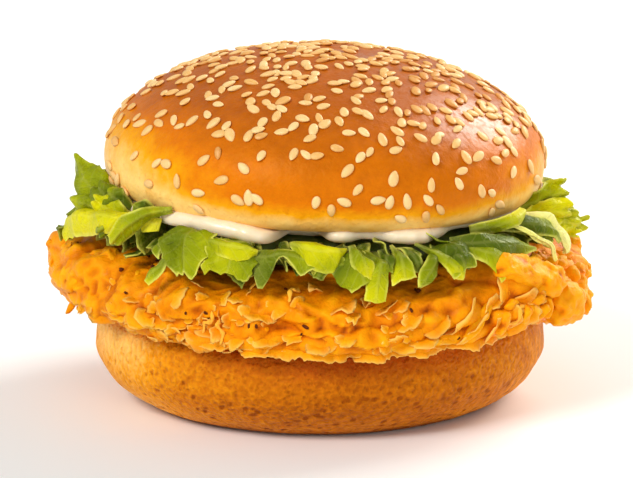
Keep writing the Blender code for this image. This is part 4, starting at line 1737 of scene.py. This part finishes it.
def leafShell(spec, rng, rows=31, columns=22):
    # one shred: a thin waved sheet along its path
    s = 1 - (1 - np.linspace(0, 1, rows)) ** 1.4
    t = np.sin(np.linspace(-np.pi / 2, np.pi / 2, columns))
    polar = np.array(spec["path"], float)
    angle = np.radians(polar[:, 0])
    knots = np.stack([polar[:, 1] * np.cos(angle), polar[:, 1] * np.sin(angle), polar[:, 2]], 1)
    path = smoothLine(knots, s) * mm
    along = unit(np.gradient(path, axis=0))
    turn = np.arctan2(path[:, 1], path[:, 0])
    away = np.stack([np.cos(turn), np.sin(turn), 0 * turn], 1)
    sideways = np.stack([-np.sin(turn), np.cos(turn), 0 * turn], 1)
    first = np.array(spec["across"], float)
    last = np.array(spec.get("acrossEnd", spec["across"]), float)
    share = s[:, None]
    mixed = first * (1 - share) + last * share
    across = sideways * mixed[:, :1] + away * mixed[:, 1:2] + np.array([0, 0, 1.0]) * mixed[:, 2:]
    across = unit(across - along * (across * along).sum(1, keepdims=True))
    face = np.cross(along, across)
    outward = (face * (away + [0, 0, 0.4])).sum(1, keepdims=True)
    face = face * np.where(outward.mean() < 0, -1.0, 1.0)
    half = [w / 2 for w in spec["wide"]] if "wide" in spec else None
    up = smoothLine(np.array(half or spec["up"]), s)
    down = smoothLine(np.array(half or spec["down"]), s)
    own = rng.uniform(0, 40)
    if half:
        narrow = 0.50 + 0.50 * smoothStep(0.0, 0.65, s)
        up, down = up * narrow, down * narrow
    length = np.linalg.norm(np.diff(path, axis=0), axis=1).sum() / mm
    teeth = spec.get("teeth", 0.12)
    rim = np.stack([s * length, 0 * s, 0 * s + own], 1)
    up = np.maximum(up, 0.1) * (1 + teeth * wavy(rim, 2.8, 3) + teeth * 0.5 * wavy(rim, 1.1, 4))
    down = np.maximum(down, 0.1) * (1 + teeth * wavy(rim + 9, 2.8, 5) + teeth * 0.5 * wavy(rim + 9, 1.1, 6))
    rounding = smoothStep(0.66, 1.0, s) * spec.get("round", 0.3)
    taper = np.sqrt(np.clip(1 - rounding**2 * 0.98, 0.02, 1))[:, None]
    reach = np.where(t < 0, up[:, None] * t, down[:, None] * t) * taper
    tip = np.stack([reach[-1], 0 * t + 3, 0 * t + own], 1)
    jag = (wavy(tip, 2.6, 8) + 0.5 * wavy(tip, 1.1, 9)) * spec.get("jag", 0.8) * mm
    grid = path[:, None, :] + across[:, None, :] * reach[..., None] * mm
    grid = grid + along[:, None, :] * (jag[None, :] * (s**4)[:, None])[..., None]
    high, count = spec.get("wave", (0.4, 1.2))
    phase = rng.uniform(0, 6.28, 2)
    edgeShare = np.abs(t) ** 1.5 if half else ((t + 1) / 2) ** 1.6
    sideWave = edgeShare * np.sin(2 * np.pi * count * s[:, None] + phase[0] + 1.3 * t)
    endWave = (s**2)[:, None] * np.sin(np.pi * count * t + phase[1] + 2 * s[:, None])
    lift = high * (0.8 * sideWave + (0.7 if half else 0.1) * endWave + 0.4 * wavy(grid, 3.5 * mm, 12))
    crumple = 1.0 * wavy(grid, 5.5 * mm, 13) + 0.45 * wavy(grid, 2.4 * mm, 14)
    lift = lift + crumple * spec.get("crumple", 1.0)
    fold = t + rng.uniform(-0.3, 0.3)
    lift = lift - spec.get("cup", 0.2) * t**2 - spec.get("crease", 0.7) * np.sqrt(fold**2 + 0.01)
    grid = grid + face[:, None, :] * (lift * smoothStep(0.0, 0.25, s)[:, None])[..., None] * mm
    distance = np.minimum((1 - np.abs(t)) * np.abs(reach).max(1)[:, None], (1 - s)[:, None] * length)
    edge = smoothStep(0.65, 0.05, distance)
    return thickened(keepClear(grid), s, edge, spec, rng)


def thickened(grid, s, edge, spec, rng):
    # both faces of the sheet and the strip round its edge
    rows, columns = grid.shape[:2]
    normal = unit(np.cross(np.gradient(grid, axis=0), np.gradient(grid, axis=1)))
    half = leafLooks["thick"] / 2 * (1 + spec.get("rib", 0) * 0.8) * (1 - 0.35 * edge)
    top = grid + normal * half[..., None]
    under = grid - normal * half[..., None]
    points = np.concatenate([top.reshape(-1, 3), under.reshape(-1, 3)])
    total = rows * columns
    cell = (np.arange(rows - 1)[:, None] * columns + np.arange(columns - 1)).reshape(-1)
    upper = np.stack([cell, cell + columns, cell + columns + 1, cell + 1], 1)
    lower = upper[:, ::-1] + total
    border = list(range(columns))
    border += [r * columns + columns - 1 for r in range(1, rows)]
    border += [(rows - 1) * columns + c for c in range(columns - 2, -1, -1)]
    border += [r * columns for r in range(rows - 2, 0, -1)]
    rim = [(a, b, b + total, a + total) for a, b in zip(border, border[1:] + border[:1])]
    tone = spec.get("tone", 0.5) + rng.uniform(-0.05, 0.05) + 0.24 * wavy(grid, 7 * mm, 16)
    side = rng.choice([-0.14, 0.14]) * np.linspace(-1, 1, columns)
    # fade darkens each shred towards its root: painted shade under the bun
    fade = spec.get("fade", 0.75) * (1 - s[:, None]) ** 1.1
    tone = (tone + 0.10 * wavy(grid, 3 * mm, 17) + side - fade).reshape(-1)
    root = np.repeat(1 - s, columns)
    steps = np.linalg.norm(np.diff(grid.mean(1), axis=0), axis=1)
    along = np.repeat(np.concatenate([[0], np.cumsum(steps)]) / mm + rng.uniform(0, 9), columns)
    widths = np.linalg.norm(grid[:, 1:] - grid[:, :-1], axis=2) / mm
    aside = np.concatenate([np.zeros((rows, 1)), np.cumsum(widths, axis=1)], axis=1)
    aside = (aside - aside[:, columns // 2, None]).reshape(-1)
    paints = {
        "along": np.concatenate([along, along]),
        "aside": np.concatenate([aside, aside]),
        "tone": np.concatenate([tone, tone]),
        "edge": np.concatenate([edge.reshape(-1)] * 2),
        "root": np.concatenate([root, root]),
        "rib": np.full(2 * total, float(spec.get("rib", 0))),
    }
    return points, upper.tolist() + lower.tolist() + rim, paints


def deepShreds(rng):
    # short shreds deep under the bun, all the way round, painted dark as the shade down there
    shreds = []
    for k in range(76):
        angle = 360 * k / 76 + rng.uniform(-3, 3)
        start = rng.uniform(39.5, 44.0)
        slant = rng.uniform(-5, 5)
        end = (angle + slant, rng.uniform(51, 54.5), start + rng.uniform(-2.5, 1.0))
        path = [(angle, 43.5, start), (angle + slant * 0.4, 48, start + rng.uniform(0, 1.4)), end]
        width = rng.uniform(2.5, 6.5)
        shreds.append(
            {
                "path": path,
                "wide": [width, width * 1.1, width * 0.9],
                "across": (rng.uniform(-1, 1), 0, rng.uniform(-1, 1)),
                "wave": (0.5, 1.2),
                "tone": rng.uniform(0.0, 0.26),
            }
        )
    return shreds


def backShreds(rng):
    # the same kinds of shred round the sides and back
    shreds = []
    for k in range(40):
        angle = (8 + 166 * (k + rng.uniform(-0.4, 0.4)) / 39) % 360
        slant = rng.uniform(-7, 7)
        lift, drop = rng.uniform(43.5, 47), rng.uniform(35, 41)
        reach = rng.uniform(57.5, 59.5)
        path = [(angle, 45, 43.5), (angle + slant * 0.3, 52, lift)]
        path += [(angle + slant * 0.7, 56.2, (lift + drop) / 2 + 1), (angle + slant, reach, drop)]
        broad = rng.uniform(3, 9) + 5 * rng.uniform(0, 1) ** 3
        broad = min(broad, 4.5) if angle < 24 else broad
        shreds.append(
            {
                "path": path,
                "wide": [broad * 0.7, broad, broad * rng.uniform(0.8, 1.1)],
                "across": (1, rng.uniform(-0.3, 0.3), rng.uniform(-0.5, 0.5)),
                "wave": (0.3 + broad * 0.08, 1.0 + broad * 0.1),
                "round": rng.choice([0.1, 0.4, 1.0]),
                "cup": rng.uniform(0, 0.8),
                "tone": rng.uniform(0.15, 0.98) * (1.0 if angle > 24 else 0.4) + (0.5 if angle < 24 else 0),
                "fade": 0.75 if angle > 24 else 0.3,
            }
        )
    for k in range(9):
        angle = 14 + 152 * k / 8 + rng.uniform(-5, 5)
        sweep = rng.uniform(10, 17)
        high = rng.uniform(44, 47)
        path = [(angle - sweep, 53, high), (angle, 56.6, high), (angle + sweep, 54, high - 1)]
        tone = rng.uniform(0.3, 0.98)
        shreds.append(
            {
                "path": path,
                "up": [0.5, rng.uniform(1.2, 2.2), 0.5],
                "down": [0.6, *rng.uniform(2.0, 5.5, 4), 0.8],
                "across": (0, 0.6, -0.8),
                "cup": rng.uniform(0.4, 1.6),
                "wave": (rng.uniform(0.4, 1.2), rng.uniform(1.5, 3)),
                "tone": tone if k else 0.85,
            }
        )
    return shreds


def leafMaterial():
    g = Graph("lettuceLeaf")
    tone = g.paint("tone") + (g.speckle(110, 3.0, 0.6, 0.5) - 0.5) * 0.46 - 0.07
    stops = [(0.0, leafLooks["dark"]), (0.48, leafLooks["green"]), (1.0, leafLooks["lime"])]
    colour = g.ramp(g.limit(tone), stops)
    side = g.maths("ABSOLUTE", g.paint("aside"), 0)
    bend = (g.speckle(260, 3.0) - 0.5) * 2.6
    fork = g.maths("SINE", g.paint("along") * 2.3 - side * 1.7 + bend, 0)
    veins = g.limit(g.between(fork, 0.80, 0.98) * 0.6 + g.between(side, 0.55, 0.10))
    pale = g.limit(g.between(g.paint("root"), 0.8, 1.0) * 0.08 + g.paint("rib") + veins * 0.07)
    colour = g.blend(pale, colour, opaque(leafLooks["rib"]))
    worn = g.between(g.speckle(140, 3.0), 0.35, 0.62)
    colour = g.blend(g.paint("edge") * worn * 0.7, colour, opaque(leafLooks["edge"]))
    crinkle = g.speckle(260, 4.0, 0.6, 0.8)
    vein = g.between(g.speckle(90, 5.0, 0.7, 1.5), 0.44, 0.56)
    normal = g.bump(crinkle, 0.0009, 0.6)
    normal = g.bump(vein, 0.0005, 0.5, normal)
    normal = g.bump(veins, 0.0003, 0.35, normal)
    return g.finish(
        {
            "Base Color": colour,
            "Roughness": g.speckle(200, 2.0) * 0.2 + 0.28,
            "Normal": normal,
            "Specular IOR Level": 0.22,
            "Specular Tint": (0.9, 1.0, 0.30, 1.0),
            "Subsurface Weight": 0.12,
            "Subsurface Radius": (0.7, 1.0, 0.05),
            "Subsurface Scale": 0.0008,
        }
    )


def makeLettuce():
    rng = np.random.default_rng(23)
    shells = [leafShell(spec, rng) for spec in frontShreds]
    shells += [leafShell(spec, rng, 20, 13) for spec in backShreds(rng)]
    shells += [leafShell(spec, rng, 11, 8) for spec in deepShreds(rng)]
    points, faces, paints = joined(shells)
    leaves = addPiece("lettuceShreds", points, faces, leafMaterial(), paints)
    core = makeLettuceShadeCore()
    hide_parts("shredded_lettuce")
    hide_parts("shredded_lettuce")


def makeLettuceShadeCore():
    # the pressed middle of the heap, painted very dark to stand in for the shade seen between the shreds
    low = heel["height"] + 0.6 * mm + fillet["thick"]
    angle = np.linspace(0, 2 * np.pi, 240, endpoint=False)
    rowShare = np.array([0.0, 0.12, 0.3, 0.5, 0.7, 0.88, 1.0])
    lean = math.tan(math.radians(crown["leanDeg"]))
    grid = np.zeros((len(rowShare), len(angle), 3))
    for row, share in enumerate(rowShare):
        bulge = 1 - abs(2 * share - 1) ** 3
        spot = np.stack([np.cos(angle), np.sin(angle), 0 * angle + share], 1)
        radius = 41.0 * mm + 1.6 * mm * bulge + 1.2 * mm * wavy(spot, 0.12, 15)
        top = 6.0 * mm - lean * radius * np.cos(angle)
        grid[row] = np.stack([radius * np.cos(angle), radius * np.sin(angle), low + top * share], 1)
    g = Graph("lettuceCoreShade")
    colour = g.ramp(g.speckle(300, 3.0), [(0.3, leafLooks["core"]), (0.75, leafLooks["dark"])])
    normal = g.bump(g.speckle(500, 4.0), 0.0006, 0.7)
    material = g.finish({"Base Color": colour, "Roughness": 0.5, "Normal": normal})
    points, faces, _ = closedRing(grid, {})
    return addPiece("lettuceShadeCore", points, faces, material)


# the mayonnaise: how far and how thickly it squeezes out round the rim
mayo = {
    "radius": 43.5 * mm,
    "thick": 2.2 * mm,
    "columns": 480,
    "rows": 30,
    "cream": (0.90, 0.71, 0.47),
    "light": (0.95, 0.80, 0.59),
    # angle in degrees, squeeze from 0 to 1, and the height of its middle in mm
    "squeeze": [
        (0, 0.30, 45.6),
        (18, 0.80, 45.4),
        (30, 0.25, 45.8),
        (44, 0.10, 45.8),
        (58, 0.85, 45.6),
        (72, 0.95, 45.4),
        (84, 0.20, 45.9),
        (100, 0.45, 46.0),
        (116, 1.00, 45.6),
        (132, 0.70, 46.0),
        (146, 0.10, 46.2),
        (162, 0.75, 46.2),
        (174, 0.55, 46.6),
        (185, 0.30, 46.8),
        (203, 0.72, 47.4),
        (212, 0.80, 47.3),
        (220, 0.50, 47.0),
        (228, 0.95, 48.0),
        (237, 1.05, 48.1),
        (246, 1.05, 47.4),
        (254, 0.98, 46.4),
        (258, 0.85, 45.8),
        (261, -1.2, 46.8),
        (268, -1.2, 47.0),
        (271, 0.60, 46.6),
        (275, 0.95, 46.4),
        (281, 0.30, 46.4),
        (285, 0.42, 46.2),
        (290, 0.82, 46.0),
        (297, 1.02, 45.6),
        (302, 0.80, 45.8),
        (308, 0.30, 46.0),
        (320, 0.25, 45.8),
        (336, 0.60, 45.9),
        (344, 0.75, 46.0),
        (352, 0.40, 45.8),
    ],
}


def mayoMaterial():
    g = Graph("mayonnaiseCream")
    colour = g.ramp(g.speckle(90, 3.0), [(0.3, mayo["cream"]), (0.7, mayo["light"])])
    normal = g.bump(g.speckle(260, 3.0, 0.5), 0.0004, 0.35)
    return g.finish(
        {
            "Base Color": colour,
            "Roughness": g.speckle(160, 2.0) * 0.12 + 0.20,
            "Normal": normal,
            "Subsurface Weight": 0.5,
            "Subsurface Radius": (1.0, 0.75, 0.45),
            "Subsurface Scale": 0.002,
        }
    )


def makeMayo():
    angle = np.linspace(0, 2 * np.pi, mayo["columns"], endpoint=False)
    knots = np.array(mayo["squeeze"], float)
    knots = np.concatenate([knots, knots[:1] + [[360, 0, 0]]])
    degrees = np.degrees(angle)
    amount, middle = (np.interp(degrees, knots[:, 0], knots[:, k]) for k in (1, 2))
    window = np.hanning(13) / np.hanning(13).sum()
    amount, middle = (
        np.convolve(np.concatenate([v[-6:], v, v[:6]]), window, "valid") for v in (amount, middle)
    )
    rim = np.stack([np.cos(angle), np.sin(angle), 0 * angle], 1)
    amount = np.clip(amount + 0.12 * wavy(rim, 0.14, 20) + 0.06 * wavy(rim, 0.05, 21), -0.6, 2)
    reach = mayo["radius"] + 6.4 * mm * amount
    full = np.clip(amount, 0, 1.1)
    half = 0.9 * mm + 0.85 * mm * full**1.5
    half = half * (1 + 0.12 * wavy(rim, 0.09, 22))
    middle = middle * mm
    turn = np.linspace(-np.pi / 2, np.pi / 2, mayo["rows"])
    level = heel["height"] + fillet["thick"] + 0.6 * mm + 7.6 * mm
    grid = []
    for share in (0.3, 0.7, 0.9):
        line = (level - mayo["thick"] / 2 + 0 * angle, mayo["radius"] * share + 0 * angle)
        grid.append(line)
    for t in turn:
        bead = reach - 2.3 * mm * full**0.5 * (1 - math.cos(t) ** 0.8)
        grid.append((middle + half * math.sin(t), bead))
    for share in (0.9, 0.7, 0.3):
        line = (level + mayo["thick"] / 2 + 0 * angle, mayo["radius"] * share + 0 * angle)
        grid.append(line)
    heights = np.array([g[0] for g in grid])
    radii = np.array([g[1] for g in grid])
    points = np.stack([radii * np.cos(angle), radii * np.sin(angle), heights], -1)
    lean = math.tan(math.radians(crown["leanDeg"]))
    inner = smoothStep(44 * mm, 38 * mm, radii)
    points[..., 2] -= lean * points[..., 0] * inner
    points[..., 2] += 0.16 * mm * wavy(points, 4 * mm, 24)
    points, faces, _ = closedRing(points, {})
    piece = addPiece("mayonnaiseLayer", points, faces, mayoMaterial())
    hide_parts("mayonnaise")


# camera, floor and lights
studio = {
    "view": (0.0, -1.0, 13.0),
    "distance": 0.80,
    "aim": (-0.0008, 0.0, 0.0351),
    "lens": 199.0,
    "floor": (0.93, 0.93, 0.92),
    "skyStrength": 0.44,
    "keyStrength": 2.08,
}


def makeCamera():
    camera = bpy.data.cameras.new("camera")
    camera.lens = studio["lens"]
    camera.clip_start = 0.01
    holder = bpy.data.objects.new("camera", camera)
    bpy.context.scene.collection.objects.link(holder)
    up = math.radians(studio["view"][2])
    back = Vector((0, -math.cos(up), math.sin(up)))
    holder.location = Vector(studio["aim"]) + back * studio["distance"]
    holder.rotation_euler = (-back).to_track_quat("-Z", "Y").to_euler()
    bpy.context.scene.camera = holder


def addLight(name, place, size, watts, colour, aim=(0, 0, 0.04)):
    light = bpy.data.lights.new(name, "AREA")
    light.shape = "RECTANGLE"
    light.size, light.size_y = size
    light.energy = watts
    light.color = colour
    lamp = bpy.data.objects.new(name, light)
    lamp.location = place
    away = Vector(aim) - Vector(place)
    lamp.rotation_euler = away.to_track_quat("-Z", "Y").to_euler()
    bpy.context.scene.collection.objects.link(lamp)


def addSun(name, away, strength, angleDeg):
    light = bpy.data.lights.new(name, "SUN")
    light.energy = strength
    light.angle = math.radians(angleDeg)
    lamp = bpy.data.objects.new(name, light)
    lamp.rotation_euler = (-Vector(away)).to_track_quat("-Z", "Y").to_euler()
    bpy.context.scene.collection.objects.link(lamp)


def makeStudio():
    world = bpy.data.worlds.new("studio")
    world.use_nodes = True
    sky = world.node_tree.nodes["Background"]
    sky.inputs["Color"].default_value = (1.0, 0.99, 0.97, 1)
    sky.inputs["Strength"].default_value = studio["skyStrength"]
    bpy.context.scene.world = world
    g = Graph("paleFloor")
    tone = g.speckle(3, 2.0) * 0.02 + 0.98
    colour = g.blend(tone, opaque((0.90, 0.90, 0.89)), opaque(studio["floor"]))
    material = g.finish({"Base Color": colour, "Roughness": 0.6, "Specular IOR Level": 0.2})
    bpy.ops.mesh.primitive_plane_add(size=12, location=(0, 0, 0))
    floor = bpy.context.object
    floor.name = "floor"
    floor.data.materials.append(material)
    addSun("keySun", (-0.55, -0.64, 0.66), studio["keyStrength"], 24.0)
    addLight("rightSheen", (0.54, 0.45, 0.50), (0.46, 0.46), 7.5, (1.0, 0.96, 0.90))
    addLight("frontFill", (0.30, -0.90, 0.35), (0.50, 0.40), 1.6, (1.0, 0.99, 0.97))
    view = bpy.context.scene.view_settings
    view.view_transform = "Standard"
    view.look = "None"


makeCamera()
makeStudio()
crownShift = makeCrown()
makeSeeds(crownShift)
makeHeel()
crustMaterial = filletMaterial()
skin = makeFillet(crustMaterial)
makeFlakes(skin, crustMaterial)
makeNodules(skin, crustMaterial)
makeStrings(skin, crustMaterial)
makePepper(skin)
makeLettuce()
makeMayo()
print("all pieces made")
